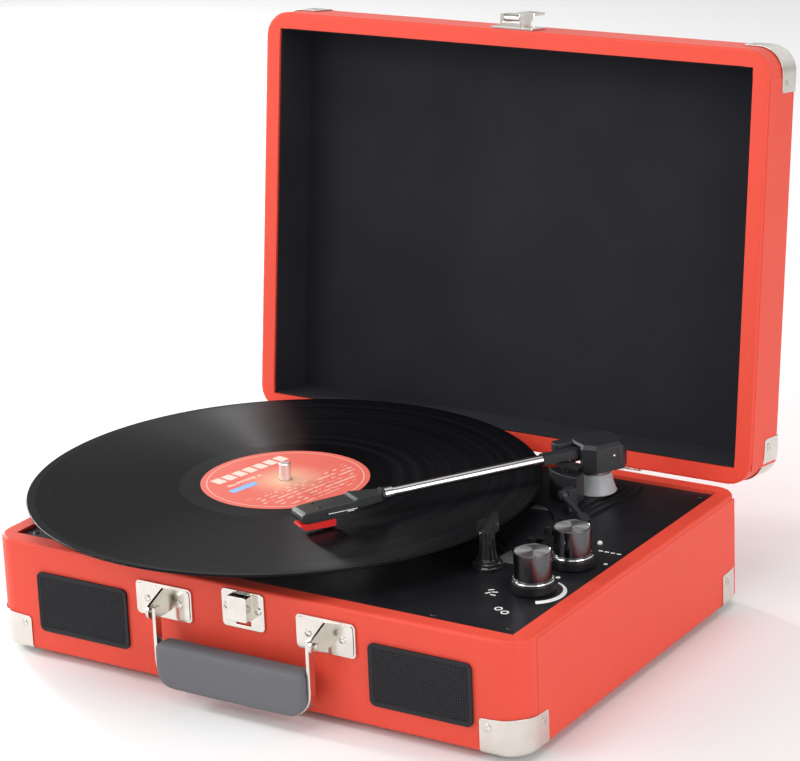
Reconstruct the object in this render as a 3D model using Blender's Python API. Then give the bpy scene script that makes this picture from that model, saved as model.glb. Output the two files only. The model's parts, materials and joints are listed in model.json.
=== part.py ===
"""Suitcase record player: carrying case, deck, belt-driven platter, tonearm, controls, lid and handle.

World frame: +X to the right along the case's front, +Y to the back, +Z up. The origin is the centre
of the case's underside. Sizes below are millimetres; every mesh is scaled to metres as it is made.
"""

import math

import bmesh
import bpy
from mathutils import Matrix, Vector

MM = 0.001
SHARP = math.radians(35)  # edges sharper than this stay crisp when a piece is shaded smooth

# ---- driving sizes -------------------------------------------------------------------------------
CASE_W, CASE_D, BASE_H, LID_H = 352.0, 258.0, 65.0, 38.0
CORNER_R, EDGE_R = 15.0, 2.0
WALL, FLOOR_T, LID_TOP_T = 10.5, 5.0, 3.0
SEAT = 0.2  # gap between two pieces that lie face to face
SHEET = 1.2  # thickness of the pressed metal fittings

FRONT, BACK = -CASE_D / 2, CASE_D / 2
FITTINGS_X = 2.0  # the front fittings are centred slightly right of the case's middle

# ---- case openings and deck ----------------------------------------------------------------------
DECK_TOP, DECK_T = 63.0, 4.0
LEDGE_W = 4.0
COVER_W, COVER_D, COVER_T = 250.0, 170.0, 3.0
FOOT_XY, FOOT_R, FOOT_H = (140.0, 100.0), 8.0, 4.0
GRILLE_X, GRILLE_Z, GRILLE_W, GRILLE_H = 112.6, 31.2, 64.0, 36.0
JACK_X, JACK_Z, JACK_W, JACK_H = 0.0, 30.0, 64.0, 22.0

# ---- turning parts -------------------------------------------------------------------------------
RECORD_XY = (-50.0, -12.0)
RECORD_R, RECORD_TOP, RECORD_T = 150.5, 81.2, 1.6
LABEL_R = 50.0
PLATTER_R, PLATTER_TOP = 100.0, 78.2
SPINDLE_R, SPINDLE_TOP = 3.5, 91.4
DRIVE_RATIO = 10.0
BELT_R, BELT_T, BELT_H, BELT_Z = 62.0, 0.8, 4.0, 70.0
MOTOR_AT, MOTOR_ANGLE = 76.0, 135.0
RUN = 0.08  # running clearance of a shaft in its bore
PRESS = 0.05  # clearance of a piece fixed on the spindle

# ---- tonearm -------------------------------------------------------------------------------------
PIVOT_XY, ARM_Z = (103.0, 85.5), 93.0
ARM_HEADING = 30.2  # degrees from straight forward, towards the record
ARM_R, BLOCK_END, TUBE_END, COLLAR_END, SHELL_END = 3.0, 36.0, 133.3, 141.0, 193.0
PLINTH_TOP = 67.0
REST_XY = (103.0, -38.5)
CUE_XY, CUE_Z, CUE_HEADING, CUE_DROP = (106.5, 49.0), 77.5, -30.0, 18.0

# ---- controls ------------------------------------------------------------------------------------
KNOBS = {"volume_knob": (142.2, -56.6), "function_knob": (143.6, -15.3)}
KNOB_R, KNOB_TOP = 10.5, 86.0
SLIDERS = {"speed_slider": (111.3, -5.2, 9.0), "auto_stop_slider": (111.3, 14.0, 5.0)}
SLIDER_W = 3.4
LED_XY = (141.2, 20.0)

# ---- hinge, handle and latch ---------------------------------------------------------------------
HINGE_Y, HINGE_Z, HINGE_X, HINGE_W = BACK + 4.0, BASE_H - 6.1, 85.0, 36.0
LID_OPEN = 96.8
EAR_X, EAR_Y, EAR_Z = 54.0, -141.5, 46.0
BAIL_X, BAIL_T, BAIL_W, BAIL_BOTTOM, BAIL_R = 50.9, 2.0, 5.0, 5.0, 13.5
GRIP_X, GRIP_TOP, GRIP_BOTTOM, GRIP_DEPTH = 48.6, 30.0, 7.4, 14.0
LATCH_HINGE_Z, LATCH_HINGE_Y = 71.0, FRONT - 7.0

# ---- finishes: colour, roughness, metallic -------------------------------------------------------
FINISHES = {
    "red_leatherette": ((0.80, 0.07, 0.045), 0.45, 0.0),
    "black_panel": ((0.012, 0.012, 0.014), 0.55, 0.0),
    "black_lining": ((0.016, 0.017, 0.021), 0.85, 0.0),
    "black_rubber": ((0.01, 0.01, 0.01), 0.8, 0.0),
    "nickel": ((0.80, 0.77, 0.70), 0.22, 1.0),
    "steel": ((0.60, 0.60, 0.60), 0.25, 1.0),
    "aluminium": ((0.80, 0.80, 0.81), 0.25, 1.0),
    "grille_black": ((0.02, 0.02, 0.023), 0.5, 0.3),
    "cone_paper": ((0.05, 0.05, 0.05), 0.8, 0.0),
    "vinyl": ((0.008, 0.008, 0.009), 0.2, 0.0),
    "felt": ((0.02, 0.02, 0.02), 0.95, 0.0),
    "brass": ((0.70, 0.52, 0.22), 0.3, 1.0),
    "board_green": ((0.02, 0.16, 0.06), 0.5, 0.0),
    "grey_hub": ((0.55, 0.56, 0.57), 0.4, 0.0),
    "arm_black": ((0.02, 0.02, 0.022), 0.35, 0.0),
    "stylus_red": ((0.85, 0.02, 0.015), 0.35, 0.0),
    "smoke": ((0.05, 0.05, 0.055), 0.15, 0.0),
    "knob_chrome": ((0.35, 0.35, 0.36), 0.15, 1.0),
    "grip_grey": ((0.13, 0.13, 0.145), 0.6, 0.0),
    "led_white": ((0.8, 0.8, 0.8), 0.3, 0.0),
}


# ---- outlines ------------------------------------------------------------------------------------
def arc(cx, cy, radius, start, end, steps):
    """Points of an arc, with start and end in degrees."""
    return [
        (
            cx + radius * math.cos(math.radians(start + (end - start) * k / steps)),
            cy + radius * math.sin(math.radians(start + (end - start) * k / steps)),
        )
        for k in range(steps + 1)
    ]


def rounded(width, depth, radius, cx=0.0, cy=0.0, steps=5):
    """A rounded rectangle about (cx, cy), anticlockwise."""
    points = []
    for sx, sy, start in ((1, -1, -90), (1, 1, 0), (-1, 1, 90), (-1, -1, 180)):
        centre = (cx + sx * (width / 2 - radius), cy + sy * (depth / 2 - radius))
        points += arc(*centre, radius, start, start + 90, steps)
    return points


def box_outline(x0, x1, y0, y1):
    return [(x0, y0), (x1, y0), (x1, y1), (x0, y1)]


# ---- solids, as bmeshes in millimetres -----------------------------------------------------------
def loft(loops, closed=False):
    """A solid skinned over loops that have the same number of points; capped unless it is closed."""
    bm = bmesh.new()
    rings = [[bm.verts.new(p) for p in loop] for loop in loops]
    pairs = list(zip(rings, rings[1:]))
    if closed:
        pairs.append((rings[-1], rings[0]))
    for low, high in pairs:
        for k in range(len(low)):
            j = (k + 1) % len(low)
            bm.faces.new((low[k], low[j], high[j], high[k]))
    if not closed:
        bm.faces.new(list(reversed(rings[0])))
        bm.faces.new(rings[-1])
    bmesh.ops.recalc_face_normals(bm, faces=bm.faces)
    return bm


def prism(outline, z0, z1):
    """An outline in X and Y, extruded from z0 to z1."""
    return loft([[(x, y, z) for x, y in outline] for z in (z0, z1)])


def prism_y(outline, y0, y1):
    """An outline in X and Z, extruded from y0 to y1."""
    return loft([[(x, y, z) for x, z in outline] for y in (y0, y1)])


def prism_x(outline, x0, x1):
    """An outline in Y and Z, extruded from x0 to x1."""
    return loft([[(x, y, z) for y, z in outline] for x in (x0, x1)])


def block(x0, x1, y0, y1, z0, z1):
    return prism(box_outline(x0, x1, y0, y1), z0, z1)


def soft_box(width, depth, radius, z0, z1, edge_low, edge_high, steps=5):
    """A rounded box whose lower and upper edges are rounded by their own radii."""
    levels = []
    for k in range(4):
        turn = math.radians(30 * k)
        levels.append((z0 + edge_low * (1 - math.sin(turn)), edge_low * (1 - math.cos(turn))))
    levels.reverse()
    for k in range(4):
        turn = math.radians(30 * k)
        levels.append((z1 - edge_high * (1 - math.sin(turn)), edge_high * (1 - math.cos(turn))))
    loops = []
    for z, inset in levels:
        points = rounded(width - 2 * inset, depth - 2 * inset, radius - inset, steps=steps)
        loops.append([(x, y, z) for x, y in points])
    return loft(loops)


def lathe(profile, segments=32, centre=(0.0, 0.0)):
    """A solid turned about a vertical axis. A profile that starts and ends on the axis is closed there."""
    bm = bmesh.new()
    rings = []
    for radius, z in profile:
        if radius == 0:
            rings.append([bm.verts.new((centre[0], centre[1], z))])
            continue
        ring = []
        for k in range(segments):
            turn = 2 * math.pi * k / segments
            place = (centre[0] + radius * math.cos(turn), centre[1] + radius * math.sin(turn), z)
            ring.append(bm.verts.new(place))
        rings.append(ring)
    pairs = list(zip(rings, rings[1:]))
    if profile[0][0] > 0:
        pairs.append((rings[-1], rings[0]))
    for one, two in pairs:
        for k in range(segments):
            j = (k + 1) % segments
            corners = [one[k % len(one)], one[j % len(one)], two[j % len(two)], two[k % len(two)]]
            bm.faces.new(list(dict.fromkeys(corners)))
    bmesh.ops.recalc_face_normals(bm, faces=bm.faces)
    return bm


def moved(bm, matrix):
    bmesh.ops.transform(bm, matrix=matrix, verts=bm.verts)
    bmesh.ops.recalc_face_normals(bm, faces=bm.faces)
    return bm


def along(bm, direction, place=(0.0, 0.0, 0.0)):
    """Turns a solid made about +Z so that its axis runs along the direction, and moves it to the place."""
    turn = Vector((0, 0, 1)).rotation_difference(Vector(direction)).to_matrix().to_4x4()
    return moved(bm, Matrix.Translation(place) @ turn)


def rod(radius, start, end, segments=20):
    """A solid cylinder between two points."""
    reach = Vector(end) - Vector(start)
    upright = lathe([(0, 0), (radius, 0), (radius, reach.length), (0, reach.length)], segments)
    return along(upright, reach, start)


def combine(first, second, operation):
    """The first bmesh after an exact Boolean with the second."""
    made = []
    for bm in (first, second):
        mesh = bpy.data.meshes.new("operand")
        bm.to_mesh(mesh)
        bm.free()
        made.append(bpy.data.objects.new("operand", mesh))
        bpy.context.scene.collection.objects.link(made[-1])
    boolean = made[0].modifiers.new("Boolean", "BOOLEAN")
    boolean.operation, boolean.object = operation, made[1]
    result = bmesh.new()
    result.from_object(made[0], bpy.context.evaluated_depsgraph_get())
    for operand in made:
        bpy.data.objects.remove(operand)
    return result


def cut(solid, *cutters):
    for cutter in cutters:
        solid = combine(solid, cutter, "DIFFERENCE")
    return solid


def join(solid, *others):
    for other in others:
        solid = combine(solid, other, "UNION")
    return solid


# ---- objects -------------------------------------------------------------------------------------
def finish(name):
    """The material of a finish, made once."""
    if name in bpy.data.materials:
        return bpy.data.materials[name]
    colour, roughness, metallic = FINISHES[name]
    material = bpy.data.materials.new(name)
    material.use_nodes = True
    shader = material.node_tree.nodes["Principled BSDF"]
    shader.inputs["Base Color"].default_value = (*colour, 1.0)
    shader.inputs["Roughness"].default_value = roughness
    shader.inputs["Metallic"].default_value = metallic
    return material


def frame(name, place, heading=0.0, tilt=0.0):
    """An empty on a joint's axis, turned about Z by heading and about X by tilt, in degrees."""
    empty = bpy.data.objects.new(name, None)
    empty.location = Vector(place) * MM
    empty.rotation_euler = (math.radians(tilt), 0.0, math.radians(heading))
    bpy.context.scene.collection.objects.link(empty)
    return empty


def part(name, bm, finish_name, parent=None, origin=(0.0, 0.0, 0.0)):
    """Makes the named object. Its mesh is given about the world's or its parent's origin."""
    bmesh.ops.translate(bm, verts=bm.verts, vec=-Vector(origin))
    bmesh.ops.scale(bm, verts=bm.verts, vec=(MM, MM, MM))
    bmesh.ops.remove_doubles(bm, verts=bm.verts, dist=1e-7)
    bmesh.ops.dissolve_degenerate(bm, edges=bm.edges, dist=1e-7)
    mesh = bpy.data.meshes.new(name)
    bm.to_mesh(mesh)
    bm.free()
    mesh.shade_smooth()
    mesh.set_sharp_from_angle(angle=SHARP)
    # Every node has its own copy of its finish.
    mesh.materials.append(finish(finish_name).copy())
    mesh.materials[0].name = f"{name}_finish"
    obj = bpy.data.objects.new(name, mesh)
    obj.location = Vector(origin) * MM
    obj.parent = parent
    bpy.context.scene.collection.objects.link(obj)
    return obj


# ---- case ----------------------------------------------------------------------------------------
def speaker_opening(side, shrink=0.0):
    points = rounded(GRILLE_W - 6 - shrink, GRILLE_H - 6 - shrink, 4, FITTINGS_X + side * GRILLE_X, GRILLE_Z)
    return prism_y(points, FRONT - 1, FRONT + WALL + 1)


def make_base_shell():
    inner_w, inner_d = CASE_W - 2 * WALL, CASE_D - 2 * WALL
    ledge_z = DECK_TOP - DECK_T - SEAT
    shell = soft_box(CASE_W, CASE_D, CORNER_R, 0, BASE_H, EDGE_R, EDGE_R)
    shell = cut(
        shell,
        prism(rounded(inner_w, inner_d, 6), ledge_z, BASE_H + 1),
        prism(rounded(inner_w - 2 * LEDGE_W, inner_d - 2 * LEDGE_W, 4), FLOOR_T, ledge_z + 1),
        prism(rounded(COVER_W - 6, COVER_D - 6, 5), -1, FLOOR_T + 1),
        prism(rounded(COVER_W + 2 * SEAT, COVER_D + 2 * SEAT, 8), -1, COVER_T + SEAT),
        speaker_opening(-1),
        speaker_opening(1),
        prism_y(rounded(JACK_W - 6, JACK_H - 6, 2, JACK_X, JACK_Z), BACK - WALL - 6, BACK + 1),
    )
    part("base_shell", shell, "red_leatherette")
    part("bottom_cover", prism(rounded(COVER_W, COVER_D, 8), 0, COVER_T), "black_panel")


def make_feet():
    for fore, sy in (("front", -1), ("back", 1)):
        for hand, sx in (("left", -1), ("right", 1)):
            place = (sx * FOOT_XY[0], sy * FOOT_XY[1])
            profile = [
                (0, -FOOT_H), (FOOT_R - 1, -FOOT_H), (FOOT_R, -FOOT_H + 1), (FOOT_R, -SEAT), (0, -SEAT),
            ]
            part(f"foot_{fore}_{hand}", lathe(profile, 24, place), "black_rubber")


def corner_protector(sx, sy, top_z=None):
    """A pressed cap over one corner's two sides and its flat face; with top_z, over the lid's top."""
    reach, tall, peak = 26.0, 19.5, 24.0
    gap, sheet = SEAT, 1.0
    arc_x, arc_y = CASE_W / 2 - CORNER_R, CASE_D / 2 - CORNER_R
    stations = [((CASE_W / 2 - reach, -CASE_D / 2), (0, -1), tall - 3)]
    stations.append(((CASE_W / 2 - reach + 3, -CASE_D / 2), (0, -1), tall))
    for k in range(7):
        turn = math.radians(-90 + 15 * k)
        normal = (math.cos(turn), math.sin(turn))
        place = (arc_x + CORNER_R * normal[0], -arc_y + CORNER_R * normal[1])
        stations.append((place, normal, tall + (peak - tall) * math.sin(math.pi * (k + 1) / 8)))
    stations.append(((CASE_W / 2, -CASE_D / 2 + reach - 3), (1, 0), tall))
    stations.append(((CASE_W / 2, -CASE_D / 2 + reach), (1, 0), tall - 3))
    loops = []
    for (x, y), (nx, ny), high in stations:
        near = (x + nx * gap, y + ny * gap)
        far = (x + nx * (gap + sheet), y + ny * (gap + sheet))
        low = -gap - sheet
        loops.append([(*near, low), (*far, low), (*far, high), (*near, high)])
    flap = [(x + nx * (gap + sheet / 2), y + ny * (gap + sheet / 2)) for (x, y), (nx, ny), _ in stations]
    flap += arc(CASE_W / 2 - reach, -CASE_D / 2 + reach, reach / 2, 0, -90, 4)
    solid = join(loft(loops), prism(flap, -gap - sheet, -gap))
    up = 1 if top_z is None else -1
    place = Matrix.Translation((0, 0, top_z or 0)) @ Matrix.Diagonal((sx, -sy, up, 1))
    return moved(solid, place)


def make_base_corners():
    for fore, sy in (("front", -1), ("back", 1)):
        for hand, sx in (("left", -1), ("right", 1)):
            part(f"base_corner_{fore}_{hand}", corner_protector(sx, sy), "nickel")


def make_speakers():
    for hand, side in (("left", -1), ("right", 1)):
        x = FITTINGS_X + side * GRILLE_X
        face = FRONT - SEAT
        frame_ring = prism_y(rounded(GRILLE_W, GRILLE_H, 5, x, GRILLE_Z), face - 1.6, face)
        dish = prism_y(rounded(GRILLE_W - 5, GRILLE_H - 5, 3.5, x, GRILLE_Z), face - 3, face - 0.8)
        part(f"speaker_grille_{hand}", cut(frame_ring, dish), "grille_black")
        magnet = [(0, 24), (14, 24), (14, 12)]
        basket = [(17, 11), (22, 3), (24, 2.5), (24, 0)]
        cone = [(20.5, 0), (8, 8), (5, 6), (0, 5)]
        place = (x, FRONT + WALL + LEDGE_W + SEAT, GRILLE_Z)
        driver = along(lathe(magnet + basket + cone, 28), (0, 1, 0), place)
        part(f"speaker_driver_{hand}", driver, "cone_paper")


# ---- deck ----------------------------------------------------------------------------------------
def island_level(inset, front_y, bottom, top):
    """One terrace of the raised island beside the platter, from the deck up to its top."""
    radius = 118.0 + inset
    first = math.degrees(math.asin((front_y + inset + 20 - RECORD_XY[1]) / radius))
    outline = arc(*RECORD_XY, radius, first, 47 - inset / 3, 10)
    outline += [
        (62, 114 - inset),
        (119 - inset, 114 - inset),
        (122 - inset, 103),
        (117 - inset, 60),
        (117 - inset, 0 if front_y < 0 else front_y + 6),
        (113 - inset, front_y),
        (93, front_y + 14),
    ]
    return prism(list(reversed(outline)), bottom, top)


def make_deck():
    width, depth = CASE_W - 2 * (WALL + SEAT), CASE_D - 2 * (WALL + SEAT)
    deck = soft_box(width, depth, 5.8, DECK_TOP - DECK_T, DECK_TOP, 0.2, 0.5, 4)
    deck = join(
        deck,
        island_level(0, -27, DECK_TOP - 2, DECK_TOP + 1.6),
        island_level(4, -20, DECK_TOP - 1.5, DECK_TOP + 2.6),
        island_level(8, 33, DECK_TOP - 1, PLINTH_TOP),
    )
    motor = motor_xy()
    low, high = DECK_TOP - DECK_T - 1, PLINTH_TOP + 1
    holes = [(RECORD_XY, 6.2), (motor, 3.0), (LED_XY, 1.8)]
    holes += [(place, 3.5) for place in KNOBS.values()]
    for (x, y), radius in holes:
        deck = cut(deck, prism(arc(x, y, radius, 0, 337.5, 15), low, high))
    for x, y, travel in SLIDERS.values():
        half = SLIDER_W / 2 + 0.3
        deck = cut(deck, block(x - half, x + half, y - half, y + travel + half, low, high))
    part("deck_plate", deck, "black_panel")
    led = lathe([(0, 56), (1.5, 56), (1.5, 63.4), (1.1, 64.2), (0, 64.4)], 12, LED_XY)
    part("power_led", led, "led_white")


def make_controls():
    top = DECK_TOP + 0.5
    profile = [
        (0, KNOB_TOP - 0.3), (KNOB_R - 1.4, KNOB_TOP - 0.3), (KNOB_R - 0.9, KNOB_TOP),
        (KNOB_R - 0.4, KNOB_TOP), (KNOB_R, KNOB_TOP - 0.5), (KNOB_R, 70.2), (KNOB_R + 1.2, 70.0),
        (KNOB_R + 1.6, 69.4), (KNOB_R + 1.8, top), (3.0, top), (3.0, 47), (0, 47),
    ]
    for name, place in KNOBS.items():
        part(name, lathe(profile, 40, place), "knob_chrome", origin=(*place, top))
    for name, (x, y, _) in SLIDERS.items():
        half = SLIDER_W / 2
        slider = join(
            block(x - half, x + half, y - half, y + half, 56, 70),
            block(x - half - 2, x + half + 2, y - half - 2, y + half + 2, 55, 58.6),
        )
        part(name, slider, "black_panel", origin=(x, y, 60))
    board = block(98, 158, -82, 0, 42, 43.6)
    for x, y in KNOBS.values():
        board = join(board, block(x - 9, x + 9, y - 9, y + 9, 43, 56))
        board = cut(board, prism(arc(x, y, 3.0 + RUN, 0, 348.75, 31), 46, 60))
    board = join(board, rod(5, (110, -30, 43), (110, -30, 54)), block(104, 118, -66, -52, 43, 48))
    part("circuit_board", board, "board_green")


def make_jack_panel():
    face = BACK + SEAT
    panel = prism_y(rounded(JACK_W, JACK_H, 3, JACK_X, JACK_Z), face, face + 1.6)
    sockets = ((-22, 4.2, 8), (-8, 4.2, 8), (8, 4.6, 4), (22, 4.0, 4))
    for x, radius, proud in sockets:
        at = (JACK_X + x, face - 6, JACK_Z)
        panel = join(panel, rod(radius, at, (at[0], face + proud, JACK_Z), 20))
        hole = rod(radius - 2.2, (at[0], face - 3, JACK_Z), (at[0], face + proud + 1, JACK_Z), 16)
        panel = cut(panel, hole)
    part("jack_panel", panel, "black_panel")


# ---- platter and drive ---------------------------------------------------------------------------
def motor_xy():
    turn = math.radians(MOTOR_ANGLE)
    return (RECORD_XY[0] + MOTOR_AT * math.cos(turn), RECORD_XY[1] + MOTOR_AT * math.sin(turn))


def make_platter():
    x, y = RECORD_XY
    centre = frame("platter_axis", (x, y, PLATTER_TOP))
    web, ring = PLATTER_TOP - 3, BELT_R - BELT_T / 2 - 0.1
    platter = lathe(
        [
            (SPINDLE_R + PRESS, PLATTER_TOP), (PLATTER_R - 1, PLATTER_TOP), (PLATTER_R, PLATTER_TOP - 1),
            (PLATTER_R, 65.6), (PLATTER_R - 3, 65.6), (PLATTER_R - 3, web), (ring, web), (ring, 66.6),
            (ring - 3, 66.6), (ring - 3, web), (8, web), (8, 65.6), (SPINDLE_R + PRESS, 65.6),
        ],
        64,
    )
    mat_top = PLATTER_TOP + SEAT + 1.0
    mat = lathe([(4, PLATTER_TOP + SEAT), (98, PLATTER_TOP + SEAT), (98, mat_top), (4, mat_top)], 64)
    under = RECORD_TOP - RECORD_T
    record = lathe(
        [
            (SPINDLE_R + 0.12, RECORD_TOP), (LABEL_R, RECORD_TOP), (LABEL_R + 1.2, RECORD_TOP - 0.3),
            (RECORD_R - 2, RECORD_TOP - 0.3), (RECORD_R - 1, RECORD_TOP - 0.1),
            (RECORD_R - 0.2, RECORD_TOP - 0.3), (RECORD_R, RECORD_TOP - 0.8),
            (RECORD_R - 0.2, under + 0.3), (RECORD_R - 1, under), (RECORD_R - 2, under + 0.3),
            (LABEL_R + 1.2, under + 0.3), (LABEL_R, under), (SPINDLE_R + 0.12, under),
        ],
        80,
    )
    spindle = lathe(
        [(0, 53), (SPINDLE_R, 53), (SPINDLE_R, SPINDLE_TOP - 3), (SPINDLE_R - 0.5, SPINDLE_TOP - 1.2),
         (SPINDLE_R - 1.6, SPINDLE_TOP - 0.2), (0, SPINDLE_TOP)],
        32,
    )
    down = Matrix.Translation((0, 0, -PLATTER_TOP))
    part("platter", moved(platter, down), "aluminium", centre)
    part("slipmat", moved(mat, down), "felt", centre)
    part("record", moved(record, down), "vinyl", centre)
    part("spindle", moved(spindle, down), "steel", centre)
    bore = SPINDLE_R + RUN
    flange, rim = DECK_TOP + SEAT, 64.9
    bush = [(0, 50), (6, 50), (6, flange), (9, flange), (9, rim), (bore, rim), (bore, 52.7), (0, 52.7)]
    part("bearing_bush", lathe(bush, 32, RECORD_XY), "brass")


def make_drive():
    place = motor_xy()
    top = DECK_TOP - DECK_T - 0.3
    case = lathe([(0, 30), (15, 30), (16, 31), (16, top), (2.1, top), (2.1, 40), (0, 40)], 28, place)
    part("drive_motor", case, "steel")
    groove = BELT_R / DRIVE_RATIO - BELT_T / 2 - 0.1
    shaft = [(0, 41), (2, 41), (2, 65.5)]
    sheave = [(8, 65.5), (8, 67), (groove, 67.4), (groove, 72.6), (8, 73), (8, 74), (0, 74)]
    pulley = lathe(shaft + sheave, 32)
    axle = frame("motor_axis", (*place, BELT_Z))
    part("motor_pulley", moved(pulley, Matrix.Translation((0, 0, -BELT_Z))), "brass", axle)
    part("drive_belt", belt(place), "black_rubber")


def belt(motor):
    """The flat belt: an open belt's outline round the platter's drive ring and the motor's pulley."""
    small, lean = BELT_R / DRIVE_RATIO, math.acos((BELT_R - BELT_R / DRIVE_RATIO) / MOTOR_AT)
    heading = math.radians(MOTOR_ANGLE)
    outlines = []
    for side in (-BELT_T / 2, BELT_T / 2):
        start, end = math.degrees(heading + lean), math.degrees(heading - lean)
        points = arc(*RECORD_XY, BELT_R + side, start, end + 360, 44)
        points += arc(*motor, small + side, end, start, 10)
        outlines.append(points)
    inner, outer = outlines
    z0, z1 = BELT_Z - BELT_H / 2, BELT_Z + BELT_H / 2
    loops = []
    for points, z in ((inner, z0), (outer, z0), (outer, z1), (inner, z1)):
        loops.append([(x, y, z) for x, y in points])
    return loft(loops, closed=True)


# ---- tonearm -------------------------------------------------------------------------------------
def sector(r0, r1, start, end, z0, z1):
    outline = arc(0, 0, r1, start, end, 8) + arc(0, 0, r0, end, start, 8)
    return prism(outline, z0, z1)


def make_tonearm():
    px, py = PIVOT_XY
    heading = -90 - ARM_HEADING
    pivot = frame("tonearm_axis", (px, py, ARM_Z), heading)
    flat = Matrix.Translation((0, 0, -ARM_Z))

    collar = [(0, 67.2), (8.8, 67.2), (10.2, 79.4), (3 + RUN, 79.4), (3 + RUN, 69), (0, 69)]
    part("pivot_collar", lathe(collar, 32, PIVOT_XY), "grey_hub")

    yoke = lathe([(0, 69.3), (3, 69.3), (3, 79.7), (10.5, 79.7), (10.5, 82), (0, 82)], 32)
    for side in (-1, 1):
        low, high = sorted((side * 7.6, side * 10.4))
        yoke = join(yoke, block(-4, 4, low, high, 81, 95.6))
    yoke = join(yoke, rod(1.25, (0, -8, ARM_Z), (0, 8, ARM_Z), 16))
    part("pivot_yoke", moved(yoke, flat), "steel", pivot)

    octagon = [
        (13, -7.5), (13, 7.5), (7, 13.5), (-11, 13.5), (-17, 7.5), (-17, -7.5), (-11, -13.5), (7, -13.5),
    ]
    house_top, wall = 98.8, 1.4
    inner = [(x - wall * (1 if x > 0 else -1), y - wall * (1 if y > 0 else -1)) for x, y in octagon]
    crown = [(x * 0.86, y * 0.86) for x, y in octagon]
    levels = ((octagon, 82.4), (octagon, house_top - 2.2), (crown, house_top))
    housing = loft([[(x, y, z) for x, y in outline] for outline, z in levels])
    housing = cut(housing, prism(inner, 80, house_top - 2.2), block(8, 16, -4.6, 4.6, 80, 97.4))
    part("pivot_housing", moved(housing, flat), "arm_black", pivot)

    block_low, block_high = 90.2, 95.8
    beam = join(
        block(-6, BLOCK_END, -3, 3, block_low, block_high),
        block(-13, -4.5, -5.5, 5.5, 88.4, block_high),
    )
    beam = cut(beam, rod(1.25 + RUN, (0, -5, ARM_Z), (0, 5, ARM_Z), 16))
    part("arm_block", moved(beam, flat), "arm_black", pivot)

    bore, nut = 2.3, 4.2
    near = BLOCK_END + SEAT
    tube = lathe(
        [(bore, near), (ARM_R, near), (ARM_R, TUBE_END), (nut, TUBE_END + 0.3), (nut, COLLAR_END),
         (bore, COLLAR_END)],
        24,
    )
    part("arm_tube", along(tube, (1, 0, 0)), "aluminium", pivot)

    side_view = [
        (COLLAR_END + SEAT, 90.4), (COLLAR_END + SEAT, 95.6), (158, 96.4), (160, 95.2), (176, 94.8),
        (SHELL_END - 3, 94.2), (SHELL_END - 0.6, 92.6), (SHELL_END, 90.2), (SHELL_END - 1, 88.2),
        (SHELL_END - 4, 88.0), (SHELL_END - 4, 91.2), (158, 91.2), (155, 90.4),
    ]
    shell = loft([[(x, y, z) for x, z in side_view] for y in (-7.2, 7.2)])
    for side in (-1, 1):
        taper = [(140, side * 3.9), (158, side * 7.3), (158, side * 12), (140, side * 12)]
        shell = cut(shell, prism(taper if side > 0 else list(reversed(taper)), 80, 100))
    part("headshell", moved(shell, flat), "arm_black", pivot)

    body = block(164, 188.8, -6, 6, 86.9, 91.0)
    part("cartridge", moved(body, flat), "arm_black", pivot)
    nose = [(171, 82.6), (171, 86.6), (192.2, 86.6), (192.6, 85.4), (190, 83.0), (176, 82.2)]
    stylus = loft([[(x, y, z) for x, z in nose] for y in (-4.6, 4.6)])
    stylus = join(stylus, lathe([(0, RECORD_TOP + 0.03), (0.5, 82.0), (0.5, 84), (0, 84)], 10, (187.0, 0)))
    part("stylus", moved(stylus, flat), "stylus_red", pivot)

    lift_block = sector(17, 28, -18, 36, PLINTH_TOP + SEAT, 84)
    stem_x, stem_y = (22.5 * math.cos(math.radians(9)), 22.5 * math.sin(math.radians(9)))
    lift_block = cut(lift_block, prism(arc(stem_x, stem_y, 2 + RUN, 0, 345, 23), 70, 85))
    part("lift_block", moved(lift_block, flat), "arm_black", pivot)
    platform = join(
        sector(18.6, 26.4, -16, 34, 87.2, 89.7),
        prism(arc(stem_x, stem_y, 2, 0, 345, 23), 72, 88),
    )
    part("lift_platform", moved(platform, flat), "arm_black", pivot)


def make_cue_lever():
    axle = frame("cue_axis", (*CUE_XY, CUE_Z), CUE_HEADING)
    post = cut(
        block(-3, 3, -3, 3, PLINTH_TOP + SEAT - CUE_Z, 3.2),
        rod(1.5 + RUN, (0, -5, 0), (0, 5, 0), 16),
    )
    part("cue_bracket", post, "arm_black", axle)
    lever = join(
        rod(3.0, (0, -6.4, 0), (0, -3.4, 0), 20),
        block(0, 22, -6.0, -3.6, -1.2, 1.2),
        block(20, 27, -7.6, -2.0, -1.4, 1.4),
    )
    tilt = Matrix.Rotation(math.radians(CUE_DROP), 4, "Y")
    lever = join(moved(lever, tilt), rod(1.5, (0, -5, 0), (0, 4, 0), 16))
    part("cue_lever", lever, "arm_black", axle)


def make_arm_rest():
    x, y = REST_XY
    post = lathe(
        [(0, 63.2), (9, 63.2), (9, 64.6), (8, 65.2), (8, 66.4), (7.4, 67), (4, 67.6), (4, 85), (0, 85)],
        28, REST_XY,
    )
    cradle_low, lip = 89.6, 95.0
    side_view = [
        (x - 4.4, 84), (x + 5.6, 84), (x + 5.6, lip), (x + 3.8, lip), (x + 3.8, cradle_low),
        (x - 4.4, cradle_low),
    ]
    part("arm_rest", join(post, prism_y(side_view, y - 3.5, y + 3.5)), "smoke")


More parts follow.
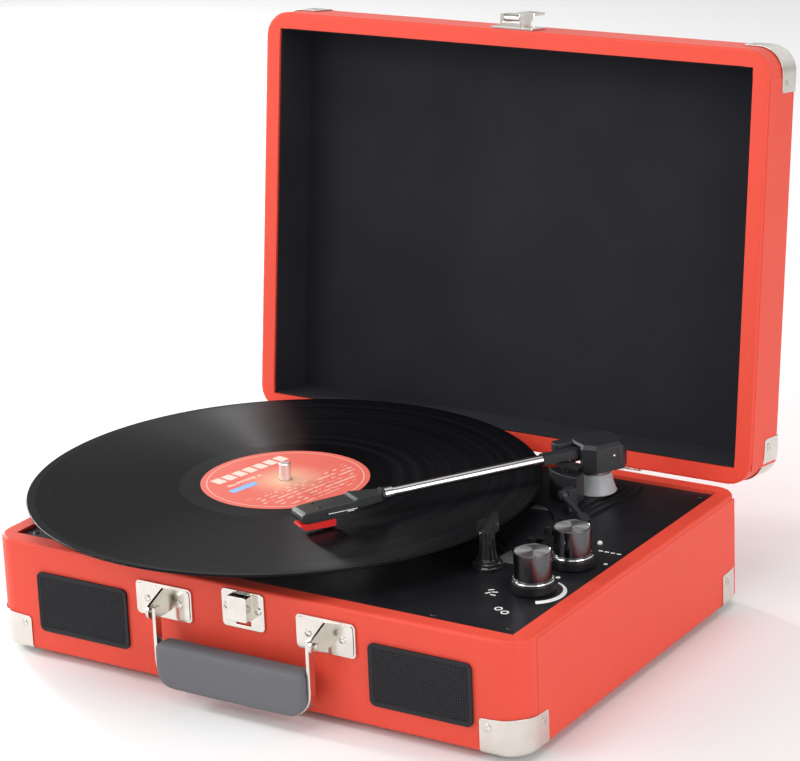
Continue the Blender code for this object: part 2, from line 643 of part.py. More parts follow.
# ---- handle and base latch -----------------------------------------------------------------------
def make_handle():
    face = FRONT - SEAT
    for hand, side in (("left", -1), ("right", 1)):
        x = FITTINGS_X + side * EAR_X
        plate = prism_y(rounded(38, 19.6, 2.6, x, 47.6), face - SHEET, face)
        ear = [(face - SHEET / 2, 40)] + arc(EAR_Y, EAR_Z, 4.6, 270, 110, 8) + [(face - SHEET / 2, 56)]
        plate = join(plate, prism_x(ear, x - 0.8, x + 0.8))
        plate = cut(plate, rod(1.5 + 0.15, (x - 3, EAR_Y, EAR_Z), (x + 3, EAR_Y, EAR_Z), 20))
        part(f"handle_plate_{hand}", plate, "nickel")

    swing = frame("handle_axis", (FITTINGS_X, EAR_Y, EAR_Z))
    path = [(-BAIL_X, 3.0)]
    path += arc(-BAIL_X + BAIL_R, BAIL_BOTTOM - EAR_Z + BAIL_R, BAIL_R, 180, 270, 6)
    path += arc(BAIL_X - BAIL_R, BAIL_BOTTOM - EAR_Z + BAIL_R, BAIL_R, 270, 360, 6)
    path.append((BAIL_X, 3.0))
    loops = []
    for k, (x, z) in enumerate(path):
        before, after = path[max(k - 1, 0)], path[min(k + 1, len(path) - 1)]
        run = Vector((after[0] - before[0], after[1] - before[1])).normalized()
        nx, nz = run.y * BAIL_T / 2, -run.x * BAIL_T / 2
        half = BAIL_W / 2
        inner, outer = (x - nx, z - nz), (x + nx, z + nz)
        loops.append([
            (inner[0], -half, inner[1]), (outer[0], -half, outer[1]), (outer[0], half, outer[1]),
            (inner[0], half, inner[1]),
        ])
    bail = loft(loops)
    for side in (-1, 1):
        bail = join(bail, rod(1.5, (side * (BAIL_X - 0.5), 0, 0), (side * (EAR_X + 2.6), 0, 0), 20))
    part("handle_bail", bail, "nickel", swing)

    low, high = GRIP_BOTTOM - EAR_Z, GRIP_TOP - EAR_Z
    outline = arc(-GRIP_X + 12, low + 12, 12, 180, 270, 6) + arc(GRIP_X - 12, low + 12, 12, 270, 360, 6)
    outline += arc(GRIP_X - 2, high - 2, 2, 0, 90, 3) + arc(-GRIP_X + 2, high - 2, 2, 90, 180, 3)
    middle = (low + high) / 2
    loops = []
    for k in range(9):
        turn = math.radians(-90 + 22.5 * k)
        pinch = 1 - 0.16 * (1 - math.cos(turn)) ** 2
        y = GRIP_DEPTH / 2 * math.sin(turn)
        loops.append([(x * (1 - (1 - pinch) * 0.12), y, middle + (z - middle) * pinch) for x, z in outline])
    part("handle_grip", loft(loops), "grip_grey", swing)

    x = FITTINGS_X
    catch = join(
        prism_y(rounded(28, 22, 2.5, x, 52.4), face - SHEET, face),
        prism_y(rounded(13, 14.5, 1.0, x, 55.0), face - 7, face - SHEET / 2),
    )
    catch = cut(
        catch,
        block(x - 4.8, x + 4.8, face - 5.6, face - SHEET - 0.8, 50, 64),
        block(x - 5, x + 5, face - 3, face + 1, 43.6, 46.4),
    )
    part("latch_catch", catch, "nickel")


# ---- lid, modelled closed about its hinge axis and then turned open --------------------------------
def make_lid():
    hinge = frame("lid_axis", (0, HINGE_Y, HINGE_Z), tilt=-LID_OPEN)
    home = Matrix.Translation((0, -HINGE_Y, -HINGE_Z))
    low, high = BASE_H + 0.3, BASE_H + LID_H

    shell = soft_box(CASE_W, CASE_D, CORNER_R, low, high, 1.5, 3.0)
    inner_w, inner_d = CASE_W - 20.4, CASE_D - 20.4
    shell = cut(shell, prism(rounded(inner_w, inner_d, 6), low - 1, high - LID_TOP_T))
    part("lid_shell", moved(shell, home), "red_leatherette", hinge)

    skin, gap = 0.8, SEAT
    lining = prism(rounded(inner_w - 2 * gap, inner_d - 2 * gap, 5.8), low + 1.5, high - LID_TOP_T - gap)
    hollow_w, hollow_d = inner_w - 2 * (gap + skin), inner_d - 2 * (gap + skin)
    hollow = prism(rounded(hollow_w, hollow_d, 5), low, high - LID_TOP_T - gap - skin)
    part("lid_lining", moved(cut(lining, hollow), home), "black_lining", hinge)

    for fore, sy in (("front", -1), ("back", 1)):
        for hand, sx in (("left", -1), ("right", 1)):
            corner = moved(corner_protector(sx, sy, high), home)
            part(f"lid_corner_{fore}_{hand}", corner, "nickel", hinge)

    face, half = BACK + SEAT, HINGE_W / 2
    for hand, side in (("left", -1), ("right", 1)):
        x = side * HINGE_X
        leaf = prism_y(rounded(HINGE_W, 16, 2, x, 45), face, face + SHEET)
        for x0, x1 in ((x - half, x - 6.2), (x + 6.2, x + half)):
            leaf = join(
                leaf,
                block(x0, x1, face, face + 2.4, 51, HINGE_Z),
                rod(2.6, (x0, HINGE_Y, HINGE_Z), (x1, HINGE_Y, HINGE_Z), 20),
            )
        leaf = join(leaf, rod(1.2, (x - 8, HINGE_Y, HINGE_Z), (x + 8, HINGE_Y, HINGE_Z), 16))
        part(f"hinge_base_{hand}", leaf, "nickel")
        flap = join(
            prism_y(rounded(HINGE_W, 17, 2, x, 75.5), face, face + SHEET),
            block(x - 5.8, x + 5.8, face + 0.3, face + 2.4, HINGE_Z, 69),
            rod(2.6, (x - 5.8, HINGE_Y, HINGE_Z), (x + 5.8, HINGE_Y, HINGE_Z), 20),
        )
        flap = cut(flap, rod(1.2 + RUN, (x - 7, HINGE_Y, HINGE_Z), (x + 7, HINGE_Y, HINGE_Z), 16))
        part(f"hinge_lid_{hand}", moved(flap, home), "nickel", hinge)

    x, face = FITTINGS_X, FRONT - SEAT
    plate = join(
        prism_y(rounded(30, 18, 2.5, x, 77), face - SHEET, face),
        block(x - 8, x - 5.4, LATCH_HINGE_Y - 2.2, face - 0.6, 69, 79),
        block(x + 5.4, x + 8, LATCH_HINGE_Y - 2.2, face - 0.6, 69, 79),
        rod(1.1, (x - 7, LATCH_HINGE_Y, LATCH_HINGE_Z), (x + 7, LATCH_HINGE_Y, LATCH_HINGE_Z), 16),
    )
    part("lid_latch_plate", moved(plate, home), "nickel", hinge)

    axle = frame("latch_axis", (x, LATCH_HINGE_Y - HINGE_Y, LATCH_HINGE_Z - HINGE_Z))
    axle.parent = hinge
    hasp = join(
        rod(2.1, (-5.1, 0, 0), (5.1, 0, 0), 20),
        block(-5.1, 5.1, -2.1, -0.6, 0, 17),
        prism_y(rounded(13, 15, 3, 0, 22), -2.1, -0.6),
        block(-4, 4, -2.1, 2.6, 15, 17),
    )
    hasp = cut(hasp, prism_y(rounded(6, 5, 1.5, 0, 24), -4, 1), rod(1.1 + RUN, (-7, 0, 0), (7, 0, 0), 16))
    part("latch_hasp", hasp, "nickel", axle)


def main():
    for obj in list(bpy.data.objects):
        bpy.data.objects.remove(obj)
    make_base_shell()
    make_feet()
    make_base_corners()
    make_speakers()
    make_deck()
    make_controls()
    make_jack_panel()
    make_platter()
    make_drive()
    make_tonearm()
    make_cue_lever()
    make_arm_rest()
    make_handle()
    make_lid()


main()
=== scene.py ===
"""Looks of a suitcase record player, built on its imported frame.

The bench works in millimetres, so every size and place below is in millimetres; a finished piece is scaled
to the frame's metres. Axes are the frame's: +X to the right, +Y to the back, +Z up.
"""

import json
import logging
import math
from dataclasses import dataclass, field
from enum import Enum
from typing import Callable, Iterable, Iterator, Sequence

import bmesh
import bpy
from mathutils import Matrix, Vector


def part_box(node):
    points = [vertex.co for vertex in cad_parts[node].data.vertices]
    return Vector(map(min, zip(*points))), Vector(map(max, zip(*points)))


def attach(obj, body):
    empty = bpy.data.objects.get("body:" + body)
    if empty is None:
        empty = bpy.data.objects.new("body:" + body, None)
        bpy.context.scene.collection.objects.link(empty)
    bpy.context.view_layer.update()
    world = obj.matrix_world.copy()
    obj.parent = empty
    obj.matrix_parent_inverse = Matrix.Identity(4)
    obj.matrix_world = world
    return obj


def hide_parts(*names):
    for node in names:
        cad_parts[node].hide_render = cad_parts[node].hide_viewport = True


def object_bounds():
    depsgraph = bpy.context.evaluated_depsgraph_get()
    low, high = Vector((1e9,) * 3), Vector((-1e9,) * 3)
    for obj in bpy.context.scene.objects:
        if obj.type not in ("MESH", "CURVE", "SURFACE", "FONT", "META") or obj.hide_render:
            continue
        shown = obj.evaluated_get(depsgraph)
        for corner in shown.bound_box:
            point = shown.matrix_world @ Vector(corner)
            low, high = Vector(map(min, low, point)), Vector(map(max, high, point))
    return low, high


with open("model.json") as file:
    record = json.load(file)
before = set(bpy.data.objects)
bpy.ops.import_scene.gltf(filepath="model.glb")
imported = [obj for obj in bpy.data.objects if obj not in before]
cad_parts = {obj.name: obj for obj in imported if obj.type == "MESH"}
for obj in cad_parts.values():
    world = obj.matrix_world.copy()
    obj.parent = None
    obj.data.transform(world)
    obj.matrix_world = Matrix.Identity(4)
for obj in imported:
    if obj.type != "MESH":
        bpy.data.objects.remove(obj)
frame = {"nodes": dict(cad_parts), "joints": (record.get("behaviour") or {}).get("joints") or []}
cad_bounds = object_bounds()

MM = 0.001
SMOOTH_ANGLE = math.radians(32)
GUARD_ANGLE = math.radians(50)
FLAT_ANGLE = math.radians(1.0)
ALONG = 0.9
MERGE = 0.001
NODE_MERGE = 0.003
FLAT_FACE_WEIGHT = 80
Point = tuple[float, float, float]
Colour = tuple[float, float, float]
log = logging.getLogger("record_player")


class Kind(Enum):
    """What an operator acts on."""

    VERT = "VERT"
    EDGE = "EDGE"
    FACE = "FACE"


class Facing(Enum):
    """Where the outer side of a piece made flat, looking up, ends up; the piece's own +Y stays upright."""

    UP = ((1, 0, 0), (0, 1, 0), (0, 0, 1))
    DOWN = ((1, 0, 0), (0, -1, 0), (0, 0, -1))
    FRONT = ((1, 0, 0), (0, 0, 1), (0, -1, 0))
    BACK = ((-1, 0, 0), (0, 0, 1), (0, 1, 0))
    LEFT = ((0, -1, 0), (0, 0, 1), (-1, 0, 0))
    RIGHT = ((0, 1, 0), (0, 0, 1), (1, 0, 0))

    def matrix(self, place: Point) -> Matrix:
        """The turn to this side followed by the move to the place."""
        turn = Matrix([Vector(axis) for axis in self.value]).transposed().to_4x4()
        return Matrix.Translation(place) @ turn


# ---- shader maths ---------------------------------------------------------------------------------
class Tone:
    """A shader socket that takes part in Python expressions, each of which adds its Math node."""

    def __init__(self, graph: "Graph", socket: bpy.types.NodeSocket) -> None:
        """Wraps one output socket of the graph."""
        self.graph = graph
        self.socket = socket

    def _math(self, operation: str, *values: "Tone | float") -> "Tone":
        """Adds one Math node and returns its value."""
        return self.graph.out("Math", {"operation": operation}, dict(enumerate(values)))

    def __add__(self, other: "Tone | float") -> "Tone":
        """self + other."""
        return self._math("ADD", self, other)

    def __sub__(self, other: "Tone | float") -> "Tone":
        """self - other."""
        return self._math("SUBTRACT", self, other)

    def __rsub__(self, other: float) -> "Tone":
        """other - self."""
        return self._math("SUBTRACT", other, self)

    def __mul__(self, other: "Tone | float") -> "Tone":
        """self * other."""
        return self._math("MULTIPLY", self, other)

    def __mod__(self, other: float) -> "Tone":
        """The rest of the division by other."""
        return self._math("FLOORED_MODULO", self, other)

    __radd__ = __add__
    __rmul__ = __mul__

    def above(self, edge: float, soft: float = 0.0) -> "Tone":
        """1 where the value is over the edge and 0 below it, over a soft step of the given width.

        Args:
            edge: the value where the step lies.
            soft: the step's width; 0 makes it sharp.

        Returns:
            The mask.
        """
        if soft == 0.0:
            return self._math("GREATER_THAN", self, edge)
        settings = {"interpolation_type": "SMOOTHSTEP"}
        sockets = {"Value": self, "From Min": edge - soft / 2, "From Max": edge + soft / 2}
        return self.graph.out("MapRange", settings, sockets)

    def below(self, edge: float, soft: float = 0.0) -> "Tone":
        """The opposite of above."""
        return 1.0 - self.above(edge, soft)

    def between(self, low: float, high: float, soft: float = 0.0) -> "Tone":
        """1 where the value lies between low and high."""
        return self.above(low, soft) * self.below(high, soft)

    def largest(self, other: "Tone | float") -> "Tone":
        """The larger of the two values."""
        return self._math("MAXIMUM", self, other)


class Graph:
    """The nodes of a material or a world, with coordinates in millimetres and what the finishes add."""

    def __init__(self, name: str, owner: "bpy.types.World | None" = None) -> None:
        """Starts the named material, or works on the world given as the owner.

        Args:
            name: the new material's name.
            owner: a world to work on instead.
        """
        self.material = owner or bpy.data.materials.new(name)
        self.material.use_nodes = True
        self.tree = self.material.node_tree
        self.shader = self.tree.nodes["Background" if owner else "Principled BSDF"]

    def node(self, kind: str, settings: dict | None = None, sockets: dict | None = None) -> bpy.types.Node:
        """Adds a node.

        Args:
            kind: the node's type, without its ShaderNode prefix.
            settings: properties set first; "stops" fills a colour ramp.
            sockets: values or Tones for the inputs, by name or number.

        Returns:
            The new node.
        """
        node = self.tree.nodes.new("ShaderNode" + kind)
        for key, value in (settings or {}).items():
            if key == "stops":
                self._fill_ramp(node.color_ramp, value)
            else:
                setattr(node, key, value)
        for key, value in (sockets or {}).items():
            if isinstance(value, Tone):
                self.tree.links.new(value.socket, node.inputs[key])
            else:
                node.inputs[key].default_value = value
        return node

    @staticmethod
    def _fill_ramp(ramp: bpy.types.ColorRamp, stops: Sequence[tuple[float, float]]) -> None:
        """Fills a ramp with (place, grey) stops.

        Args:
            ramp: the ramp to fill.
            stops: (place, grey) pairs in order.
        """
        while len(ramp.elements) < len(stops):
            ramp.elements.new(1.0)
        for element, (place, grey) in zip(ramp.elements, stops):
            element.position = place
            element.color = (grey, grey, grey, 1.0)

    def out(
        self, kind: str, settings: dict | None = None, sockets: dict | None = None, output: int = 0
    ) -> Tone:
        """Adds a node and returns one of its outputs."""
        return Tone(self, self.node(kind, settings, sockets).outputs[output])

    def place(self, centre: Point = (0.0, 0.0, 0.0), heading: float = 0.0) -> Tone:
        """Object coordinates in millimetres about a centre, turned so that X runs along the heading.

        Args:
            centre: the origin, in millimetres.
            heading: the angle of X about Z.

        Returns:
            The coordinates.
        """
        raw = Tone(self, self.node("TexCoord").outputs["Object"])
        scaled = self.out("VectorMath", {"operation": "SCALE"}, {0: raw, "Scale": 1 / MM})
        moved = self.out("VectorMath", {"operation": "SUBTRACT"}, {0: scaled, 1: centre})
        if heading == 0.0:
            return moved
        return self.out("VectorRotate", {"rotation_type": "Z_AXIS"}, {"Vector": moved, "Angle": -heading})

    def axes(self, vector: Tone) -> tuple[Tone, Tone, Tone]:
        """The X, Y and Z of a vector."""
        node = self.node("SeparateXYZ", None, {0: vector})
        return Tone(self, node.outputs[0]), Tone(self, node.outputs[1]), Tone(self, node.outputs[2])

    def radius(self, vector: Tone) -> Tone:
        """The distance from the Z axis."""
        x, y, _ = self.axes(vector)
        return self.out("Math", {"operation": "SQRT"}, {0: x * x + y * y})

    def noise(self, vector: Tone, size: float, detail: float = 2.0, roughness: float = 0.5) -> Tone:
        """Noise from 0 to 1 whose features are about size millimetres across."""
        sockets = {"Vector": vector, "Scale": 1 / size, "Detail": detail, "Roughness": roughness}
        return self.out("TexNoise", None, sockets)

    def rings(self, radius: Tone, size: float, detail: float = 2.0) -> Tone:
        """Noise that changes with the radius alone."""
        settings = {"noise_dimensions": "1D"}
        return self.out("TexNoise", settings, {"W": radius * (1 / size), "Scale": 1.0, "Detail": detail})

    def cells(self, vector: Tone, size: float) -> Tone:
        """Distance to the nearest of scattered points about size millimetres apart."""
        return self.out("TexVoronoi", {"feature": "SMOOTH_F1"}, {"Vector": vector, "Scale": 1 / size})

    def blend(self, share: Tone, low: "Colour | Tone", high: "Colour | Tone") -> Tone:
        """A colour from low, at share 0, to high, at share 1.

        Args:
            share: the mix from 0 to 1.
            low: the colour at 0.
            high: the colour at 1.

        Returns:
            The colour.
        """
        second = high if isinstance(high, Tone) else (*high, 1.0)
        first = low if isinstance(low, Tone) else (*low, 1.0)
        settings = {"data_type": "RGBA"}
        return self.out("Mix", settings, {0: share, 6: first, 7: second}, output=2)

    def bump(self, height: Tone, depth: float) -> Tone:
        """The normal of a relief whose full height is depth millimetres."""
        return self.out("Bump", None, {"Strength": 1.0, "Distance": depth * MM, "Height": height})

    def shade(self, **sockets: "Tone | float | Colour") -> bpy.types.Material:
        """Fills the Principled shader's sockets, named with underscores for spaces.

        Args:
            sockets: what each socket takes.

        Returns:
            The material.
        """
        for name, value in sockets.items():
            socket = self.shader.inputs[name.replace("_", " ")]
            if isinstance(value, Tone):
                self.tree.links.new(value.socket, socket)
            elif isinstance(value, tuple) and len(value) == 3 and socket.type == "RGBA":
                socket.default_value = (*value, 1.0)
            else:
                socket.default_value = value
        return self.material


# ---- finishes -------------------------------------------------------------------------------------
@dataclass(frozen=True)
class Finish:
    """A finish: its name is its material's and slot is the record's material slot."""

    name: str
    slot: str
    colour: Colour = (0.5, 0.5, 0.5)
    roughness: float = 0.5

    def material(self) -> bpy.types.Material:
        """The finish's material, made once."""
        return bpy.data.materials.get(self.name) or self.make(Graph(self.name))

    def make(self, graph: Graph) -> bpy.types.Material:
        """Builds the nodes."""
        raise NotImplementedError


@dataclass(frozen=True)
class Leatherette(Finish):
    """Grained covering cloth glued over the case's boards."""

    grain: float = 0.9
    relief: float = 0.05

    def make(self, graph: Graph) -> bpy.types.Material:
        """Pebbled grain, a few soft waves in the glue and a slightly deeper colour in the valleys.

        Args:
            graph: the nodes of the finish's material.

        Returns:
            The material.
        """
        at = graph.place()
        warp = graph.noise(at, 5.0)
        cells = graph.cells(at, self.grain)
        fine = graph.noise(at, self.grain / 3, 3.0)
        waves = graph.noise(at, 38.0, 1.0)
        height = cells * 0.75 + fine * 0.35 + warp * 0.5
        dark = tuple(c * 0.90 for c in self.colour)
        tone = graph.noise(at, 60.0, 2.0) * 0.5 + cells * 0.5
        colour = graph.blend(tone.above(0.5, 0.8), self.colour, dark)
        grain = graph.bump(height, self.relief)
        swelling = {"Strength": 1.0, "Distance": 0.35 * MM, "Height": waves, "Normal": grain}
        swell = graph.node("Bump", None, swelling)
        rough = self.roughness + warp * 0.06 - cells * 0.05
        return graph.shade(
            Base_Color=colour, Roughness=rough, Normal=Tone(graph, swell.outputs[0]), Specular_IOR_Level=0.3
        )


@dataclass(frozen=True)
class Moulded(Finish):
    """Moulded plastic with a fine spark-eroded skin."""

    texture: float = 0.35
    relief: float = 0.012
    coat: float = 0.0
    shine: float = 0.5

    def make(self, graph: Graph) -> bpy.types.Material:
        """Fine texture with slow drifts of tone and gloss.

        Args:
            graph: the nodes of the finish's material.

        Returns:
            The material.
        """
        at = graph.place()
        skin = graph.noise(at, self.texture, 2.0)
        drift = graph.noise(at, 22.0)
        light = tuple(min(1.0, c * 1.35 + 0.003) for c in self.colour)
        return graph.shade(
            Base_Color=graph.blend(drift.above(0.5, 0.6), self.colour, light),
            Roughness=self.roughness + drift * 0.10 - 0.05 + skin * 0.04,
            Normal=graph.bump(skin, self.relief),
            Coat_Weight=self.coat,
            Coat_Roughness=0.12,
            Specular_IOR_Level=self.shine,
        )


@dataclass(frozen=True)
class Plated(Finish):
    """Plated or polished metal with faint wiping marks."""

    spun: float = 0.0
    ripple: float = 0.02

    def make(self, graph: Graph) -> bpy.types.Material:
        """Near-mirror metal, dulled a little in patches, with the polish's long ripple.

        Args:
            graph: the nodes of the finish's material.

        Returns:
            The material.
        """
        at = graph.place()
        smear = graph.noise(at, 9.0, 3.0)
        speck = graph.noise(at, 0.8, 2.0)
        dull = tuple(c * 0.9 for c in self.colour)
        return graph.shade(
            Base_Color=graph.blend(smear.above(0.5, 0.5), self.colour, dull),
            Metallic=1.0,
            Roughness=self.roughness + smear * 0.10 - 0.05 + speck * 0.03,
            Normal=graph.bump(graph.noise(at, 6.0), self.ripple),
            Anisotropic=self.spun,
        )


@dataclass(frozen=True)
class Turned(Finish):
    """Metal faced on a lathe: rings of fine tool marks about a vertical axis."""

    centre: Point = (0.0, 0.0, 0.0)
    spun: float = 0.8

    def make(self, graph: Graph) -> bpy.types.Material:
        """Rings in the colour, the roughness and the relief, under a spun highlight.

        Args:
            graph: the nodes of the finish's material.

        Returns:
            The material.
        """
        radius = graph.radius(graph.place(self.centre))
        rings = graph.rings(radius, 0.22, 4.0)
        dark = tuple(c * 0.80 for c in self.colour)
        return graph.shade(
            Base_Color=graph.blend(rings.above(0.5, 0.5), dark, self.colour),
            Metallic=1.0,
            Roughness=self.roughness + rings * 0.10,
            Normal=graph.bump(rings, 0.012),
            Anisotropic=self.spun,
        )


@dataclass(frozen=True)
class Vinyl(Finish):
    """Pressed vinyl: grooves whose sheen runs round the record."""

    centre: Point = (0.0, 0.0, 0.0)
    label: float = 50.0
    edge: float = 150.0

    def make(self, graph: Graph) -> bpy.types.Material:
        """Groove rings that drift in loudness, with a smooth lead-in and run-out; where the grooves run loud
        the colour is lightened in rings as painted groove sheen.

        Args:
            graph: the nodes of the finish's material.

        Returns:
            The material.
        """
        at = graph.place(self.centre)
        radius = graph.radius(at)
        music = radius.between(self.label + 12.0, self.edge - 5.0, 0.6)
        fine = graph.rings(radius, 0.45, 4.0)
        loud = graph.rings(radius, 5.0, 3.0)
        dust = graph.noise(at, 0.7, 4.0, 0.7)
        groove = (fine * 0.6 + loud * 0.4) * music
        # Painted sheen: the black is lifted in the loud groove rings, standing in for light that the groove
        # walls catch.
        groove_sheen = tuple(c * 1.8 + 0.002 for c in self.colour)
        return graph.shade(
            Base_Color=graph.blend((fine * loud * music).above(0.3, 0.3), self.colour, groove_sheen),
            Roughness=self.roughness + groove * 0.14 + dust.above(0.70, 0.1) * 0.10,
            Normal=graph.bump(groove, 0.010),
            Anisotropic=0.95,
            Specular_IOR_Level=0.07,
        )


@dataclass(frozen=True)
class LabelPaper(Finish):
    """Printed paper label: a fading cream middle, ring lines, plain bars and rows of thin dashes."""

    centre: Point = (0.0, 0.0, 0.0)
    heading: float = 1.37
    cream: Colour = (0.90, 0.66, 0.42)
    white: Colour = (0.86, 0.72, 0.62)
    stagger: float = 31.9

    def make(self, graph: Graph) -> bpy.types.Material:
        """Masks in the label's own axes, X along the print's lines.

        Args:
            graph: the nodes of the finish's material.

        Returns:
            The material.
        """
        at = graph.place(self.centre, self.heading)
        x, y, _ = graph.axes(at)
        radius = graph.radius(at)
        fibre = graph.noise(at, 0.5, 3.0)
        glow = radius.below(15.0, 28.0) * 0.6
        colour = graph.blend(glow, self.colour, self.cream)
        ring = radius.between(45.6, 46.3, 0.2) * 0.5
        bars = x.between(-30.0, 27.0) * y.between(24.0, 32.5)
        gaps = ((x + self.stagger) % 8.3).between(0.0, 1.9)
        row = (y % 4.2).between(0.0, 1.5, 0.3) * y.between(-37.0, -8.0)
        lettering = {"Vector": at, "Scale": 0.23, "Detail": 3.0}
        words = graph.out("TexNoise", {"noise_dimensions": "2D"}, lettering)
        dashes = row * words.above(0.5, 0.05) * radius.below(42.0) * 0.6
        second = y.between(15.5, 18.5, 0.3) * x.between(-30.0, -4.0) * words.above(0.42, 0.05) * 0.6
        print_mask = (bars * (1.0 - gaps) * 0.92).largest(dashes).largest(second).largest(ring)
        return graph.shade(
            Base_Color=graph.blend(print_mask, colour, self.white),
            Roughness=self.roughness + fibre * 0.08,
            Normal=graph.bump(fibre, 0.01),
        )


@dataclass(frozen=True)
class Cloth(Finish):
    """Matt cloth or felt lining."""

    thread: float = 0.45
    relief: float = 0.06
    mottle: float = 0.5

    def make(self, graph: Graph) -> bpy.types.Material:
        """Short crossed fibres over a slow mottle of the pile.

        Args:
            graph: the nodes of the finish's material.

        Returns:
            The material.
        """
        at = graph.place()
        pile = graph.noise(at, self.thread, 4.0, 0.7)
        patch = graph.noise(at, 45.0, 2.0)
        light = tuple(c * (1.0 + self.mottle) + 0.002 for c in self.colour)
        return graph.shade(
            Base_Color=graph.blend((pile * 0.5 + patch * 0.6).above(0.55, 0.5), self.colour, light),
            Roughness=self.roughness,
            Normal=graph.bump(pile, self.relief),
            Specular_IOR_Level=0.2,
        )


@dataclass(frozen=True)
class SoftGrip(Finish):
    """Padded grip cover: smooth artificial leather with faint upright stretch marks."""

    def make(self, graph: Graph) -> bpy.types.Material:
        """Stretch marks run round the grip; a pore grain lies over them.

        Args:
            graph: the nodes of the finish's material.

        Returns:
            The material.
        """
        at = graph.place()
        squeezed = graph.out("VectorMath", {"operation": "MULTIPLY"}, {0: at, 1: (1.6, 0.12, 0.12)})
        marks = graph.noise(squeezed, 1.0, 3.0)
        pores = graph.cells(at, 0.55)
        light = tuple(c * 1.18 for c in self.colour)
        return graph.shade(
            Base_Color=graph.blend(marks.above(0.5, 0.5), self.colour, light),
            Roughness=self.roughness + marks * 0.08,
            Normal=graph.bump(marks * 0.7 + pores * 0.3, 0.12),
        )


@dataclass(frozen=True)
class Smoked(Finish):
    """Smoked clear plastic."""

    def make(self, graph: Graph) -> bpy.types.Material:
        """Mostly body colour with a share of dark clarity.

        Args:
            graph: the nodes of the finish's material.

        Returns:
            The material.
        """
        at = graph.place()
        flow = graph.noise(at, 7.0)
        light = tuple(c * 1.6 for c in self.colour)
        return graph.shade(
            Base_Color=graph.blend(flow, self.colour, light),
            Roughness=self.roughness + flow * 0.05,
            Transmission_Weight=0.35,
            IOR=1.49,
            Coat_Weight=0.6,
        )


RED = Leatherette("covering_red", "red_leatherette", (0.79, 0.074, 0.042), 0.44)
LINING = Cloth("lid_lining_black", "black_lining", (0.0145, 0.0150, 0.0195), 0.95, mottle=0.25)
FELT = Cloth("mat_felt", "felt", (0.014, 0.014, 0.015), 0.96, thread=0.7, relief=0.15)
DECK = Moulded("deck_black", "black_panel", (0.0070, 0.0070, 0.0092), 0.36, shine=0.28)
ISLAND = Moulded("panel_black", "black_panel", (0.011, 0.011, 0.012), 0.34, shine=0.4)
BOARD = Moulded("board_green", "board_green", (0.02, 0.16, 0.06), 0.5)
CONE = Moulded("cone_paper", "cone_paper", (0.035, 0.035, 0.036), 0.8, texture=1.5, relief=0.1)
RUBBER = Moulded("foot_rubber", "black_rubber", (0.012, 0.012, 0.012), 0.75)
GRILLE = Moulded("grille_black", "grille_black", (0.020, 0.020, 0.023), 0.38)
ARM = Moulded("arm_black", "arm_black", (0.0085, 0.0085, 0.0095), 0.26, relief=0.006, coat=0.15, shine=0.4)
SHELL = Moulded("headshell_black", "arm_black", (0.020, 0.023, 0.022), 0.36, shine=0.5)
HUB = Moulded("hub_grey", "grey_hub", (0.36, 0.365, 0.38), 0.36)
SKIRT = Moulded("knob_skirt_black", "knob_chrome", (0.0075, 0.0075, 0.009), 0.30, shine=0.3)
# Painted highlight: a grey copy of the black panel, standing in for the light that the island's facets catch.
PAINTED_HIGHLIGHT_FACET = Moulded("facet_painted_highlight", "black_panel", (0.060, 0.062, 0.066), 0.38)
NEEDLE = Moulded("stylus_red", "stylus_red", (0.93, 0.004, 0.003), 0.35, shine=0.3)
STICKER = Moulded("sticker_blue", "felt", (0.20, 0.40, 0.80), 0.45)
INK = Moulded("white_ink", "led_white", (0.86, 0.86, 0.86), 0.45)
LENS = Moulded("led_lens", "led_white", (0.85, 0.85, 0.83), 0.25, coat=0.5)
NICKEL = Plated("nickel_plate", "nickel", (0.78, 0.745, 0.69), 0.15)
SCREW = Plated("screw_nickel", "nickel", (0.74, 0.72, 0.68), 0.22)
ISLAND_SCREW = Plated("screw_black", "black_panel", (0.10, 0.10, 0.10), 0.30)
SPINDLE = Plated("spindle_bright", "steel", (0.95, 0.95, 0.95), 0.42, ripple=0.0)
STEEL = Plated("bright_steel", "steel", (0.72, 0.72, 0.72), 0.16)
TUBE = Plated("arm_tube_bright", "aluminium", (0.80, 0.80, 0.81), 0.14, ripple=0.0)
BRASS = Plated("turned_brass", "brass", (0.70, 0.52, 0.22), 0.25)
KNOB_SIDE = Plated("knob_dark_chrome", "knob_chrome", (0.13, 0.13, 0.138), 0.20, ripple=0.0)
KNOB_RING = Plated("knob_bright_ring", "knob_chrome", (0.80, 0.80, 0.81), 0.12, ripple=0.0)
PLATTER = Plated("platter_cast", "aluminium", (0.42, 0.42, 0.43), 0.34)
GRIP = SoftGrip("grip_grey", "grip_grey", (0.088, 0.087, 0.099), 0.50)
SMOKE = Smoked("smoked_post", "smoke", (0.018, 0.018, 0.020), 0.10)


# ---- the bench ------------------------------------------------------------------------------------
def clear_selection() -> None:
    """Leaves edit mode and deselects every object."""
    if bpy.context.object is not None and bpy.context.object.mode != "OBJECT":
        bpy.ops.object.mode_set(mode="OBJECT")
    bpy.ops.object.select_all(action="DESELECT")


def span(node: str) -> tuple[Vector, Vector]:
    """The lowest and highest corners of a frame node, in millimetres."""
    low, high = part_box(node)
    return low / MM, high / MM


def middle(node: str) -> Vector:
    """The middle of a frame node's box, in millimetres."""
    low, high = span(node)
    return (low + high) / 2


def joint(name: str) -> tuple[Vector, Vector]:
    """A joint's place, in millimetres, and its axis."""
    found = next(entry for entry in frame["joints"] if entry["name"] == name)
    return Vector(found["pos_m"]) / MM, Vector(found["axis"])


